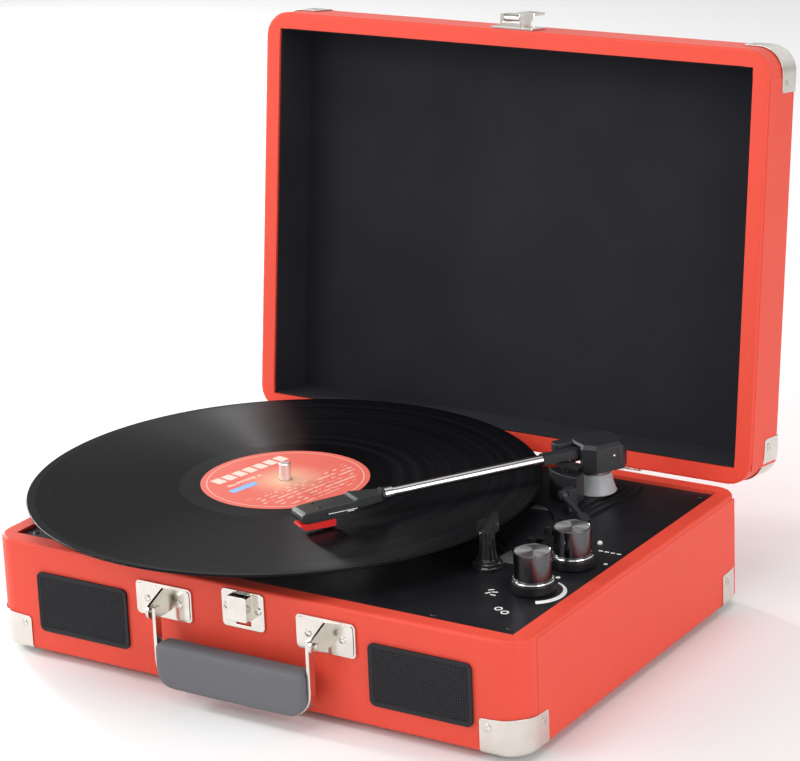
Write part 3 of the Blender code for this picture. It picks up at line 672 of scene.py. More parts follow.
class Work:
    """One mesh on the bench, in edit mode, shaped with Blender's operators in millimetres."""

    def __init__(self, name: str, obj: bpy.types.Object) -> None:
        """Names the object that was just added and opens its mesh, with its place applied.

        Args:
            name: the piece's name.
            obj: the object just added.
        """
        obj.name = name
        obj.data.name = name
        self.obj = obj
        self.only()
        bpy.ops.object.transform_apply(location=True, rotation=True, scale=True)
        bpy.ops.object.mode_set(mode="EDIT")
        bpy.ops.mesh.select_mode(type="VERT")

    # starts
    @classmethod
    def block(cls, name: str, low: Sequence[float], high: Sequence[float]) -> "Work":
        """A box between two corners.

        Args:
            name: the piece's name.
            low: the lower corner.
            high: the higher corner.

        Returns:
            The box on the bench.
        """
        clear_selection()
        centre = (Vector(low) + Vector(high)) / 2
        bpy.ops.mesh.primitive_cube_add(size=1, location=centre)
        bpy.context.object.scale = Vector(high) - Vector(low)
        return cls(name, bpy.context.object)

    @classmethod
    def slab(
        cls, name: str, width: float, height: float, thick: float, corner: float, steps: int = 6
    ) -> "Work":
        """A plate in X and Y with rounded corners, its outer side up, standing on Z 0.

        Args:
            name: the piece's name.
            width: its size along X.
            height: its size along Y.
            thick: its size along Z; 0 leaves a bare face.
            corner: the corners' radius.
            steps: segments of each rounded edge.

        Returns:
            The plate on the bench.
        """
        clear_selection()
        bpy.ops.mesh.primitive_plane_add(size=1)
        bpy.context.object.scale = (width, height, 1)
        work = cls(name, bpy.context.object)
        bpy.ops.mesh.select_all(action="SELECT")
        if corner > 0:
            bpy.ops.mesh.bevel(offset=corner, segments=steps, affect="VERTICES")
        bpy.ops.mesh.select_all(action="SELECT")
        return work.push(0, 0, thick) if thick else work

    @classmethod
    def turned(cls, name: str, profile: Sequence[tuple[float, float]], sides: int = 48) -> "Work":
        """A turned solid: a disc extruded and resized through the profile's (radius, height) points.

        Args:
            name: the piece's name.
            profile: (radius, height) points, in order.
            sides: segments round the axis.

        Returns:
            The solid on the bench.
        """
        (radius, height), *rest = profile
        clear_selection()
        bpy.ops.mesh.primitive_circle_add(
            vertices=sides, radius=radius, fill_type="NGON", location=(0, 0, height)
        )
        work = cls(name, bpy.context.object)
        bpy.ops.mesh.select_all(action="SELECT")
        return work.climb(radius, height, rest)

    @classmethod
    def ring(cls, name: str, profile: Sequence[tuple[float, float]], sides: int = 48) -> "Work":
        """A turned ring: an edge loop taken round a closed profile of (radius, height) points.

        Args:
            name: the piece's name.
            profile: (radius, height) points, in order.
            sides: segments round the axis.

        Returns:
            The ring on the bench.
        """
        (radius, height), *rest = profile
        clear_selection()
        bpy.ops.mesh.primitive_circle_add(
            vertices=sides, radius=radius, fill_type="NOTHING", location=(0, 0, height)
        )
        work = cls(name, bpy.context.object)
        bpy.ops.mesh.select_all(action="SELECT")
        work.climb(radius, height, [*rest, profile[0]])
        bpy.ops.mesh.select_all(action="SELECT")
        bpy.ops.mesh.remove_doubles(threshold=MERGE)
        bpy.ops.mesh.normals_make_consistent(inside=False)
        return work

    @classmethod
    def of_node(cls, name: str, node: str) -> "Work":
        """A copy of a frame node's mesh, merged and with its flat faces made whole.

        Args:
            name: the piece's name.
            node: the frame node's name.

        Returns:
            The copy on the bench.
        """
        clear_selection()
        obj = bpy.data.objects.new(name, frame["nodes"][node].data.copy())
        obj.data.materials.clear()
        obj.scale = (1 / MM, 1 / MM, 1 / MM)
        bpy.context.scene.collection.objects.link(obj)
        work = cls(name, obj)
        bpy.ops.mesh.customdata_custom_splitnormals_clear()
        bpy.ops.mesh.select_all(action="SELECT")
        bpy.ops.mesh.remove_doubles(threshold=NODE_MERGE)
        bpy.ops.mesh.dissolve_limited(angle_limit=FLAT_ANGLE)
        return work

    # selection
    def only(self) -> None:
        """Makes this the one selected object."""
        clear_selection()
        self.obj.select_set(True)
        bpy.context.view_layer.objects.active = self.obj

    def pick(self, test: Callable[[Vector, Vector], bool], kind: Kind = Kind.FACE) -> "Work":
        """Selects what passes a test of its middle and its normal; an edge gives its direction instead.

        Args:
            test: says whether a place and a direction are wanted.
            kind: vertices, edges or faces.

        Returns:
            The work itself.
        """
        if self.obj.mode != "EDIT":
            self.only()
            bpy.ops.object.mode_set(mode="EDIT")
        bpy.ops.mesh.select_mode(type=kind.value)
        bpy.ops.mesh.select_all(action="DESELECT")
        mesh = bmesh.from_edit_mesh(self.obj.data)
        if kind is Kind.FACE:
            for face in mesh.faces:
                face.select_set(test(face.calc_center_median(), face.normal))
        elif kind is Kind.EDGE:
            for edge in mesh.edges:
                one, two = edge.verts[0].co, edge.verts[1].co
                edge.select_set(test((one + two) / 2, (two - one).normalized()))
        else:
            for vert in mesh.verts:
                vert.select_set(test(vert.co, vert.normal))
        mesh.select_flush_mode()
        bmesh.update_edit_mesh(self.obj.data)
        return self

    # edit operators, which act on the selection
    def climb(self, radius: float, height: float, steps: Iterable[tuple[float, float]]) -> "Work":
        """Extrudes the selection upwards and resizes it, step by step.

        Args:
            radius: the present radius.
            height: the present height.
            steps: the (radius, height) points that follow.

        Returns:
            The work itself.
        """
        for next_radius, next_height in steps:
            self.push(0, 0, next_height - height)
            factor = next_radius / radius
            bpy.ops.transform.resize(value=(factor, factor, 1), center_override=(0, 0, next_height))
            radius, height = next_radius, next_height
        return self

    def push(self, x: float, y: float, z: float) -> "Work":
        """Extrudes the selection along a vector."""
        bpy.ops.mesh.extrude_region_move(TRANSFORM_OT_translate={"value": (x, y, z)})
        return self

    def inset(self, width: float, depth: float = 0.0) -> "Work":
        """Insets the selected faces, and sinks them where depth is below zero."""
        bpy.ops.mesh.inset(thickness=width, depth=depth)
        return self

    def grow(self, factors: Point, about: Sequence[float]) -> "Work":
        """Resizes the selection about a point."""
        bpy.ops.transform.resize(value=factors, center_override=tuple(about))
        return self

    def shift(self, x: float, y: float, z: float) -> "Work":
        """Moves the selection."""
        bpy.ops.transform.translate(value=(x, y, z))
        return self

    def round_edges(self, width: float, steps: int = 3) -> "Work":
        """Bevels the selected edges."""
        bpy.ops.mesh.bevel(offset=width, segments=steps, affect="EDGES", clamp_overlap=True)
        return self

    def trim(self, point: Point, normal: Point, fill: bool = True) -> "Work":
        """Cuts the whole mesh with a plane and drops what lies on the side its normal points to.

        Args:
            point: a point on the plane.
            normal: the side that is dropped.
            fill: whether the cut is closed.

        Returns:
            The work itself.
        """
        bpy.ops.mesh.select_all(action="SELECT")
        bpy.ops.mesh.bisect(plane_co=point, plane_no=normal, clear_outer=True, use_fill=fill)
        return self

    # whole-object steps
    def modify(self, kind: str, **settings: object) -> "Work":
        """Adds a modifier and applies it at once.

        Args:
            kind: the modifier's type.
            settings: its properties.

        Returns:
            The work itself.
        """
        self.only()
        modifier = self.obj.modifiers.new(kind, kind)
        for key, value in settings.items():
            setattr(modifier, key, value)
        bpy.ops.object.modifier_apply(modifier=modifier.name)
        bpy.ops.object.mode_set(mode="EDIT")
        return self

    def soften(self, width: float, steps: int = 2, angle: float = 34.0) -> "Work":
        """Bevels every edge sharper than the angle.

        Args:
            width: the bevel's width.
            steps: its segments.
            angle: in degrees; flatter edges stay.

        Returns:
            The work itself.
        """
        return self.modify(
            "BEVEL", width=width, segments=steps, limit_method="ANGLE", angle_limit=math.radians(angle)
        )

    def carve(self, tool: "Work") -> "Work":
        """Cuts the tool out of this mesh and throws the tool away."""
        return self._combine(tool, "DIFFERENCE")

    def fuse(self, other: "Work") -> "Work":
        """Unites another mesh with this one."""
        return self._combine(other, "UNION")

    def _combine(self, other: "Work", operation: str) -> "Work":
        """One exact Boolean.

        Args:
            other: the mesh that is used up.
            operation: DIFFERENCE or UNION.

        Returns:
            The work itself.
        """
        other.only()
        self.modify("BOOLEAN", object=other.obj, operation=operation, solver="EXACT")
        bpy.ops.object.mode_set(mode="OBJECT")
        bpy.data.objects.remove(other.obj)
        self.only()
        bpy.ops.object.mode_set(mode="EDIT")
        return self

    def lay(self, matrix: Matrix) -> "Work":
        """Turns and moves the whole mesh.

        Args:
            matrix: the turn and the move.

        Returns:
            The work itself.
        """
        self.only()
        self.obj.matrix_world = matrix
        bpy.ops.object.transform_apply(location=True, rotation=True, scale=True)
        bpy.ops.object.mode_set(mode="EDIT")
        bpy.ops.mesh.select_all(action="SELECT")
        bpy.ops.mesh.normals_make_consistent(inside=False)
        return self

    def copy(self, name: str, matrix: Matrix | None = None) -> "Work":
        """A copy with its own mesh, laid where the matrix says.

        Args:
            name: the piece's name.
            matrix: where it is laid, if anywhere else.

        Returns:
            The copy.
        """
        clear_selection()
        obj = bpy.data.objects.new(name, self.obj.data.copy())
        bpy.context.scene.collection.objects.link(obj)
        twin = Work(name, obj)
        return twin.lay(matrix) if matrix is not None else twin

    def gather(self, others: Iterable["Work"]) -> "Work":
        """Joins other meshes to this one as separate solids of one piece.

        Args:
            others: the meshes that are joined on.

        Returns:
            The work itself.
        """
        others = list(others)
        self.only()
        for other in others:
            other.obj.select_set(True)
        bpy.context.view_layer.objects.active = self.obj
        bpy.ops.object.join()
        bpy.ops.object.mode_set(mode="EDIT")
        return self

    def drop(self) -> None:
        """Throws the mesh away."""
        clear_selection()
        bpy.data.objects.remove(self.obj)

    def done(self, finish: Finish, body: str, *nodes: str, angle: float = SMOOTH_ANGLE) -> bpy.types.Object:
        """Scales the piece to the frame, shades and dresses it, and lets it ride on its body.

        Args:
            finish: the finish that the piece wears.
            body: the frame body that it moves with.
            nodes: the frame nodes that it stands for.
            angle: edges sharper than this stay crisp.

        Returns:
            The finished piece.
        """
        self.only()
        self.obj.scale = (MM, MM, MM)
        bpy.ops.object.transform_apply(location=True, rotation=True, scale=True)
        bpy.ops.object.shade_smooth_by_angle(angle=angle)
        self.modify("WEIGHTED_NORMAL", keep_sharp=True, weight=FLAT_FACE_WEIGHT)
        bpy.ops.object.mode_set(mode="OBJECT")
        self.obj.data.materials.clear()
        self.obj.data.materials.append(finish.material())
        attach(self.obj, body)
        if nodes:
            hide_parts(*nodes)
        log.info("%s: %d faces on %s", self.obj.name, len(self.obj.data.polygons), body)
        return self.obj


def dress_node(node: str, finish: Finish, body: str, soft: float = 0.25, steps: int = 2) -> bpy.types.Object:
    """A frame node's shape with its edges broken, standing for the node in the given finish.

    Args:
        node: the frame node's name.
        finish: what it is dressed in.
        body: the frame body it moves with.
        soft: the width of the broken edges; 0 leaves them sharp.
        steps: segments of each rounded edge.

    Returns:
        The finished piece.
    """
    work = Work.of_node(f"{node}_finished", node)
    if soft:
        work.soften(soft, steps)
    return work.done(finish, body, node)


def joined(name: str, works: Iterable[Work]) -> Work:
    """Several meshes as the separate solids of one piece.

    Args:
        name: the piece's name.
        works: the meshes.

    Returns:
        The first mesh, holding them all.
    """
    first, *others = works
    first.gather(others)
    first.obj.name = name
    return first


def corner_blocks(
    half_x: float, half_y: float, low: float, high: float, reach: float = 8.0
) -> Iterator[Work]:
    """Upright boxes in the four corners of a rectangle about the origin, each made when it is asked for.

    Args:
        half_x: half the opening's width.
        half_y: half the opening's depth.
        low: their lower height.
        high: their upper height.
        reach: the size of a box's sides.

    Yields:
        Each box.
    """
    for sx in (-1, 1):
        for sy in (-1, 1):
            x0, x1 = sorted((sx * (half_x - reach), sx * half_x))
            y0, y1 = sorted((sy * (half_y - reach), sy * half_y))
            yield Work.block("corner", (x0, y0, low), (x1, y1, high))


def square_corners(work: Work, half_x: float, half_y: float, low: float, high: float) -> Work:
    """Cuts the rounded inner corners of a box opening square, between two heights.

    Args:
        work: the box.
        half_x: half the opening's width.
        half_y: half the opening's depth.
        low: the lower height.
        high: the upper height.

    Returns:
        The box.
    """
    for block in corner_blocks(half_x, half_y, low, high):
        work.carve(block)
    return work


@dataclass
class CrossScrew:
    """A raised cross-head screw, made once and copied to its places."""

    radius: float = 2.3
    height: float = 0.9
    slot: float = 0.55

    def make(self, name: str) -> Work:
        """The screw, its seat on Z 0 and its head up.

        Args:
            name: the piece's name.

        Returns:
            The screw on the bench.
        """
        r, h = self.radius, self.height
        profile = [(r, -0.3), (r, 0.1), (r * 0.9, h * 0.62), (r * 0.62, h * 0.9), (r * 0.2, h)]
        head = Work.turned(name, profile, 20)
        for wide, deep in ((r * 0.62, self.slot / 2), (self.slot / 2, r * 0.62)):
            head.carve(Work.block("slot", (-wide, -deep, h * 0.35), (wide, deep, h + 1)))
        return head

    def scatter(
        self, name: str, places: Sequence[Matrix], body: str, finish: Finish = SCREW
    ) -> bpy.types.Object:
        """One piece holding a screw at each place.

        Args:
            name: the piece's name.
            places: where each one stands.
            body: the frame body it moves with.
            finish: what it is dressed in.

        Returns:
            The finished piece.
        """
        master = self.make(name)
        copies = [master.copy(f"{name}_{k}", matrix) for k, matrix in enumerate(places)]
        master.drop()
        return joined(name, copies).done(finish, body)


# ---- the carrying case ----------------------------------------------------------------------------
@dataclass
class CornerGuard:
    """A pressed corner guard over two sides and the flat face, with a screw in a dimple on each side."""

    reach: float = 26.0
    tall: float = 19.8
    crown: float = 1.3
    sheet: float = 0.5
    gap: float = 0.3
    case_corner: float = 15.0
    edge: float = 3.6
    notch: float = 12.0
    screw_in: float = 5.2
    screw_down: float = 5.0
    cuts: tuple[float, ...] = (0.08, 0.16, 0.24, 0.32)

    def make(self, name: str, width: float, depth: float) -> Work:
        """The guard for the front right lower corner of a case of the given width and depth.

        Args:
            name: the piece's name.
            width: the case's width.
            depth: the case's depth.

        Returns:
            The guard on the bench.
        """
        skin = self.gap + self.sheet
        out_x, out_y = width / 2 + skin, -depth / 2 - skin
        in_x, in_y = width / 2 - self.reach, -depth / 2 + self.reach
        top = self.tall + self.crown
        guard = Work.block(name, (in_x, out_y, -skin), (out_x, in_y, top))
        inner = ((-1, 0, 0), (0, 1, 0), (0, 0, 1))
        guard.pick(lambda c, n: any(n.dot(Vector(side)) > ALONG for side in inner))
        bpy.ops.mesh.delete(type="FACE")
        guard.pick(lambda c, d: abs(d.z) > ALONG and c.x > out_x - 1 and c.y < out_y + 1, Kind.EDGE)
        guard.round_edges(self.case_corner + skin, 14)
        guard.pick(
            lambda c, d: c.z < -skin + 0.01 and abs(d.z) < 0.1 and c.x > in_x + 0.5 and c.y < in_y - 0.5,
            Kind.EDGE,
        )
        guard.round_edges(self.edge, 5)
        for step in self.cuts:
            for point, normal in (
                ((in_x + self.reach * step, 0, 0), (1, 0, 0)),
                ((0, in_y - self.reach * step, 0), (0, 1, 0)),
            ):
                bpy.ops.mesh.select_all(action="SELECT")
                bpy.ops.mesh.bisect(plane_co=point, plane_no=normal)
        self._curve_top(guard, in_x, in_y, top)
        for x, y in ((in_x, out_y), (out_x, in_y)):
            guard.pick(lambda c, n: c.z > 8 and abs(c.x - x) < 0.05 and abs(c.y - y) < 0.05, Kind.VERT)
            bpy.ops.mesh.bevel(offset=1.9, segments=5, affect="VERTICES")
        guard.modify("SOLIDIFY", thickness=self.sheet, offset=-1)
        bite = Work.turned("bite", [(self.notch, -skin - 1), (self.notch, 3.0)], 32)
        guard.carve(bite.lay(Matrix.Translation((in_x, in_y, 0))))
        for place in self.screws(width, depth):
            dimple = Work.turned("dimple", [(2.5, -0.15), (2.9, 0.12), (3.1, 0.4), (3.1, 1.0)], 28)
            guard.carve(dimple.lay(place))
        return guard.soften(0.14, 2, 40)

    def _curve_top(self, guard: Work, in_x: float, in_y: float, top: float) -> None:
        """Lowers the top edge from the corner towards both ends in one smooth curve.

        Args:
            guard: the guard.
            in_x: where the guard ends along X.
            in_y: where the guard ends along Y.
            top: the height of its top edge.
        """
        mesh = bmesh.from_edit_mesh(guard.obj.data)
        spots = [v.co.copy() for v in mesh.verts if v.co.z > top - 0.01]
        for spot in spots:
            share = min(spot.x - in_x, in_y - spot.y) / (self.reach * 0.82)
            drop = self.crown * math.cos(min(1.0, max(0.0, share)) * math.pi / 2) ** 1.3
            guard.pick(lambda c, n: (c - spot).length < 0.001, Kind.VERT).shift(0, 0, -drop)

    def screws(self, width: float, depth: float) -> list[Matrix]:
        """Where the screws stand on the front right lower corner.

        Args:
            width: the case's width.
            depth: the case's depth.

        Returns:
            The two places.
        """
        skin = self.gap + self.sheet
        side_in, rise = self.reach - self.screw_in, self.tall - self.screw_down
        front = Facing.FRONT.matrix((width / 2 - side_in, -depth / 2 - skin, rise))
        side = Facing.RIGHT.matrix((width / 2 + skin, -depth / 2 + side_in, rise))
        return [front, side]

    def fit(self, body: str, size: tuple[float, float], place: Matrix, up: int, screw: CrossScrew) -> None:
        """Puts a guard on each of the four corners of a box face, and one piece for all their screws.

        Args:
            body: the frame body it moves with.
            size: the box's width and depth.
            place: where the box face lies.
            up: 1, or -1 for guards that hang down.
            screw: the screw that holds them.
        """
        master = self.make("guard", *size)
        places: list[Matrix] = []
        for fore, sy in (("front", 1), ("back", -1)):
            for hand, sx in (("left", -1), ("right", 1)):
                mirror = place @ Matrix.Diagonal((sx, sy, up, 1))
                guard = master.copy(f"{body}_guard_{fore}_{hand}", mirror)
                guard.done(NICKEL, body, f"{body}_corner_{fore}_{hand}", angle=GUARD_ANGLE)
                places += [mirror @ spot for spot in self.screws(*size)]
        master.drop()
        screw.scatter(f"{body}_guard_screws", places, body)


@dataclass
class CarryingCase:
    """The covered base box with its guards, feet, cover, grilles and hinges."""

    body: str = "base"
    width: float = 352.0
    depth: float = 258.0
    cloth: float = 0.25
    mesh_pitch: float = 1.55
    mesh_hole: float = 0.5
    seam_front: float = 16.5
    seam_back: float = 9.5
    guard: CornerGuard = field(default_factory=CornerGuard)
    screw: CrossScrew = field(default_factory=lambda: CrossScrew(radius=2.35, height=0.4))

    def build(self) -> None:
        """Every piece of the base box."""
        shell = square_corners(Work.of_node("case_covering", "base_shell"), 165.5, 118.5, 62.8, 66.0)
        shell.soften(0.35, 2, 40).done(RED, self.body, "base_shell")
        self.side_panels("case_side", 3.0, 62.6, Matrix(), self.body)
        dress_node("bottom_cover", DECK, self.body, 0.3)
        for node in (name for name in frame["nodes"] if name.startswith("foot_")):
            self._foot(node)
        self._guards()
        for hand in ("left", "right"):
            self._grille(hand)
            dress_node(f"speaker_driver_{hand}", CONE, self.body, 0.0)
            dress_node(f"hinge_base_{hand}", NICKEL, self.body, 0.2)
        self._fasteners()

    def side_panels(self, name: str, low: float, high: float, matrix: Matrix, body: str) -> None:
        """The covering's separate end pieces, whose cut edges show as seams behind the corners.

        Args:
            name: the piece's name.
            low: the lower height.
            high: the upper height.
            matrix: where the closed box is laid.
            body: the frame body it moves with.
        """
        for hand, side in (("left", -1), ("right", 1)):
            x0, x1 = sorted((side * (self.width / 2 - 0.5), side * (self.width / 2 + self.cloth)))
            y0, y1 = -self.depth / 2 + self.seam_front, self.depth / 2 - self.seam_back
            panel = Work.block(f"{name}_{hand}", (x0, y0, low), (x1, y1, high))
            panel.soften(0.12, 2).lay(matrix).done(RED, body)

    def _foot(self, node: str) -> None:
        """A turned rubber foot with a rounded tread and a sunk middle.

        Args:
            node: the frame node's name.
        """
        low, high = span(node)
        radius, tall = (high.x - low.x) / 2, high.z - low.z
        profile = [(radius * 0.42, 1.2), (radius * 0.5, 0.1), (radius * 0.8, 0), (radius * 0.94, 0.35)]
        profile += [(radius, 1.1), (radius, tall - 0.3), (radius - 0.3, tall)]
        foot = Work.turned(f"{node}_tread", profile, 40)
        centre = middle(node)
        foot.lay(Matrix.Translation((centre.x, centre.y, low.z))).done(RUBBER, self.body, node)

    def _guards(self) -> None:
        """The four lower corner guards and their screws."""
        self.guard.fit(self.body, (self.width, self.depth), Matrix(), 1, self.screw)

    def _grille(self, hand: str) -> None:
        """A speaker grille: a pressed frame with a perforated field sunk in it.

        Args:
            hand: left or right.
        """
        node = f"speaker_grille_{hand}"
        low, high = span(node)
        centre = middle(node)
        width, tall = high.x - low.x, high.z - low.z
        rim = Work.slab(f"grille_frame_{hand}", width, tall, 1.5, 3.6, 8)
        rim.pick(lambda c, n: n.z > ALONG).inset(0.8).inset(0.35, -0.35).inset(1.2).inset(0.3, -0.75)
        rim.soften(0.18, 2)
        rim.lay(Facing.FRONT.matrix((centre.x, high.y, centre.z))).done(GRILLE, self.body, node)
        field_mesh = self._perforated(f"grille_mesh_{hand}", width - 4.8, tall - 4.8)
        field_mesh.lay(Facing.FRONT.matrix((centre.x, high.y - 0.75, centre.z))).done(GRILLE, self.body)

    def _perforated(self, name: str, width: float, tall: float) -> Work:
        """A sheet of small round holes: one cell with a hole, repeated and thickened.

        Args:
            name: the piece's name.
            width: its size along X.
            tall: its height.

        Returns:
            The sheet on the bench.
        """
        pitch = self.mesh_pitch
        clear_selection()
        bpy.ops.mesh.primitive_circle_add(vertices=8, radius=self.mesh_hole, fill_type="NOTHING")
        cell = Work(name, bpy.context.object)
        bpy.ops.mesh.select_all(action="SELECT")
        half_side = math.radians(22.5)
        bpy.ops.transform.rotate(value=half_side, orient_axis="Z", center_override=(0, 0, 0))
        factor = pitch / 2 / (self.mesh_hole * math.cos(half_side))
        cell.push(0, 0, 0)
        cell.grow((factor, factor, 1), (0, 0, 0))
        cell.pick(lambda c, n: abs(c.y) > pitch * 0.45 and c.xy.length > pitch * 0.5, Kind.VERT)
        cell.grow((1 / math.tan(half_side), 1, 1), (0, 0, 0))
        bpy.ops.mesh.select_all(action="SELECT")
        bpy.ops.mesh.remove_doubles(threshold=MERGE)
        columns, rows = int(width / pitch), int(tall / pitch)
        for count, step in ((columns, (pitch, 0, 0)), (rows, (0, pitch, 0))):
            cell.modify(
                "ARRAY", count=count, use_relative_offset=False, use_constant_offset=True,
                constant_offset_displace=step, use_merge_vertices=True, merge_threshold=0.01,
            )
        cell.pick(lambda c, n: True, Kind.VERT)
        cell.shift(-(columns - 1) * pitch / 2, -(rows - 1) * pitch / 2, 0)
        return cell.modify("SOLIDIFY", thickness=0.4, offset=0)

    def _fasteners(self) -> None:
        """Screws in the underside cover and the hinge leaves."""
        low, high = span("bottom_cover")
        spots = [(x, y) for x in (low.x + 7, 0.0, high.x - 7) for y in (low.y + 7, high.y - 7)]
        places = [Facing.DOWN.matrix((x, y, low.z)) for x, y in spots]
        for hand in ("left", "right"):
            low, high = span(f"hinge_base_{hand}")
            places += [Facing.BACK.matrix((x, low.y + 1.2, 42.5)) for x in (low.x + 6, high.x - 6)]
        CrossScrew(radius=1.9, height=0.6).scatter("case_screws", places, self.body)


@dataclass
class Lid:
    """The hinged lid: covering, black lining, guards, hinge leaves and latch plate."""

    body: str = "lid"
    tilt: float = math.radians(-96.8)
    base: CarryingCase = field(default_factory=CarryingCase)
    top: float = 103.0
    lining: tuple[Point, Point] = ((-165.5, -118.5, 66.8), (165.5, 118.5, 99.7))
    board: float = 0.9
    latch_wall: tuple[Point, Point] = ((-4.3, -133.5, 68.1), (8.3, -130.3, 69.2))
    latch_screw: float = 11.5

    def build(self) -> None:
        """Every piece of the lid."""
        shell = Work.of_node("lid_covering", "lid_shell").lay(self.opened().inverted())
        square_corners(shell, 165.6, 118.6, 64.0, 99.8)
        shell.soften(0.3, 2, 40).lay(self.opened()).done(RED, self.body, "lid_shell")
        self.base.side_panels("lid_side", 67.5, 100.0, self.opened(), self.body)
        self._lining()
        self._guards()
        for hand in ("left", "right"):
            dress_node(f"hinge_lid_{hand}", NICKEL, self.body, 0.2)
        self._latch()

    def _lining(self) -> None:
        """The black lining, an open box of thin board with square corners."""
        lining = Work.block("lid_lining_cloth", *self.lining)
        lining.pick(lambda c, n: n.z < -ALONG)
        bpy.ops.mesh.delete(type="FACE")
        lining.modify("SOLIDIFY", thickness=self.board, offset=-1)
        lining.soften(0.35, 3).lay(self.opened()).done(LINING, self.body, "lid_lining")

    def opened(self) -> Matrix:
        """The turn from the closed lid to the open one, about the hinge."""
        pivot, _ = joint("lid_hinge")
        return Matrix.Translation(pivot) @ Matrix.Rotation(self.tilt, 4, "X") @ Matrix.Translation(-pivot)

    def _guards(self) -> None:
        """The four guards on the lid's top corners, upside down on the closed lid."""
        place = self.opened() @ Matrix.Translation((0, 0, self.top))
        self.base.guard.fit(self.body, (self.base.width, self.base.depth), place, -1, self.base.screw)

    def _latch(self) -> None:
        """The latch plate on the lid's edge and the hasp that hangs from it."""
        dress_node("lid_latch_plate", NICKEL, self.body, 0.25, 3)
        dress_node("latch_hasp", NICKEL, "hasp", 0.3, 3)
        wall = Work.block("lid_latch_front", *self.latch_wall)
        wall.soften(0.25, 2).lay(self.opened()).done(NICKEL, self.body)
        centre = middle("handle_bail").x
        spots = [(centre + side * self.latch_screw, -self.base.depth / 2 - 1.4, 79.5) for side in (-1, 1)]
        places = [self.opened() @ Facing.FRONT.matrix(spot) for spot in spots]
        CrossScrew(radius=1.7, height=0.6).scatter("lid_latch_screws", places, self.body)


@dataclass
class FrontFittings:
    """The carrying handle, its two plates and the latch catch."""

    body: str = "base"
    front: float = -129.2
    wrap: float = 2.7
    plate_screw: float = 11.0
    plate_tall: float = 19.6
    plate_z: float = 47.6
    grip_corner: float = 11.0
    grip_roll: float = 2.0
    grip_voxel: float = 0.9
    grip_rounds: int = 75

    def build(self) -> None:
        """Every fitting on the case's front."""
        places: list[Matrix] = []
        for hand in ("left", "right"):
            centre = middle(f"handle_plate_{hand}")
            self._plate(hand)
            for side in (-1, 1):
                spot = (centre.x + side * self.plate_screw, self.front - 1.5, self.plate_z)
                places.append(Facing.FRONT.matrix(spot))
        self._catch(places)
        CrossScrew(radius=2.2, height=0.9, slot=0.7).scatter("front_screws", places, self.body)
        self._bail()
        self._grip()

    def _plate(self, hand: str) -> None:
        """A handle plate: a rounded plate with a raised face, its ear and the rivet's washer.

        Args:
            hand: left or right.
        """
        node = f"handle_plate_{hand}"
        low, high = span(node)
        centre = middle(node)
        work = Work.of_node(f"{node}_finished", node)
        wide, tall = high.x - low.x, self.plate_tall
        face = Work.slab("face", wide - 2.4, tall - 2.4, 0.45, 2.0, 6)
        face.lay(Facing.FRONT.matrix((centre.x, self.front - 1.2, self.plate_z)))
        work.fuse(face)
        groove = Work.slab("groove", wide - 2.0, tall - 2.0, 1.0, 2.4, 6)
        island = Work.slab("island", wide - 3.0, tall - 3.0, 3.0, 2.0, 6)
        groove.carve(island.lay(Matrix.Translation((0, 0, -1))))
        work.carve(groove.lay(Facing.FRONT.matrix((centre.x, self.front - 0.55, self.plate_z))))
        work.soften(0.18, 2, 40).done(NICKEL, self.body, node)

    def _catch(self, places: list[Matrix]) -> None:
        """The latch catch, with its screws added to the given places.

        Args:
            places: the list that the catch's screws are added to.
        """
        dress_node("latch_catch", NICKEL, self.body, 0.4, 3)
        centre = middle("latch_catch")
        places += [Facing.FRONT.matrix((centre.x + side * 10.4, self.front - 1.2, 53.6)) for side in (-1, 1)]

    def _bail(self) -> None:
        """The flat wire bail with its rivet heads."""
        dress_node("handle_bail", NICKEL, "handle", 0.5, 3)
        pivot, _ = joint("handle_swing")
        rivets = []
        for side, facing in ((-1, Facing.LEFT), (1, Facing.RIGHT)):
            rivet = Work.turned("rivet", [(2.0, -0.2), (2.0, 0.15), (1.7, 0.4), (1.0, 0.55), (0.3, 0.6)], 24)
            rivets.append(rivet.lay(facing.matrix((pivot.x + side * 55.9, pivot.y, pivot.z))))
        joined("handle_rivets", rivets).done(NICKEL, "handle")

    def _grip(self) -> None:
        """The padded grip: foam round the bail's lower bar, its edges rolled and its ends pulled in."""
        low, high = span("handle_grip")
        width, thick, foot = high.x - low.x, high.y - low.y, low.z - self.wrap
        tall = high.z - foot
        grip = Work.slab("handle_pad", width + 1.4, tall + 1.4, thick - 0.4, 0.0)
        grip.pick(lambda c, d: abs(d.z) > ALONG and c.y < 0, Kind.EDGE).round_edges(self.grip_corner, 10)
        grip.pick(lambda c, d: abs(d.z) > ALONG and c.y > 0, Kind.EDGE).round_edges(self.grip_roll, 3)
        grip.modify("REMESH", mode="VOXEL", voxel_size=self.grip_voxel)
        grip.modify("SMOOTH", factor=0.5, iterations=self.grip_rounds)
        centre = middle("handle_grip")
        grip.lay(Facing.FRONT.matrix((centre.x, high.y - 0.7, (high.z + foot) / 2)))
        piece = grip.done(GRIP, "handle", "handle_grip", angle=math.radians(60))


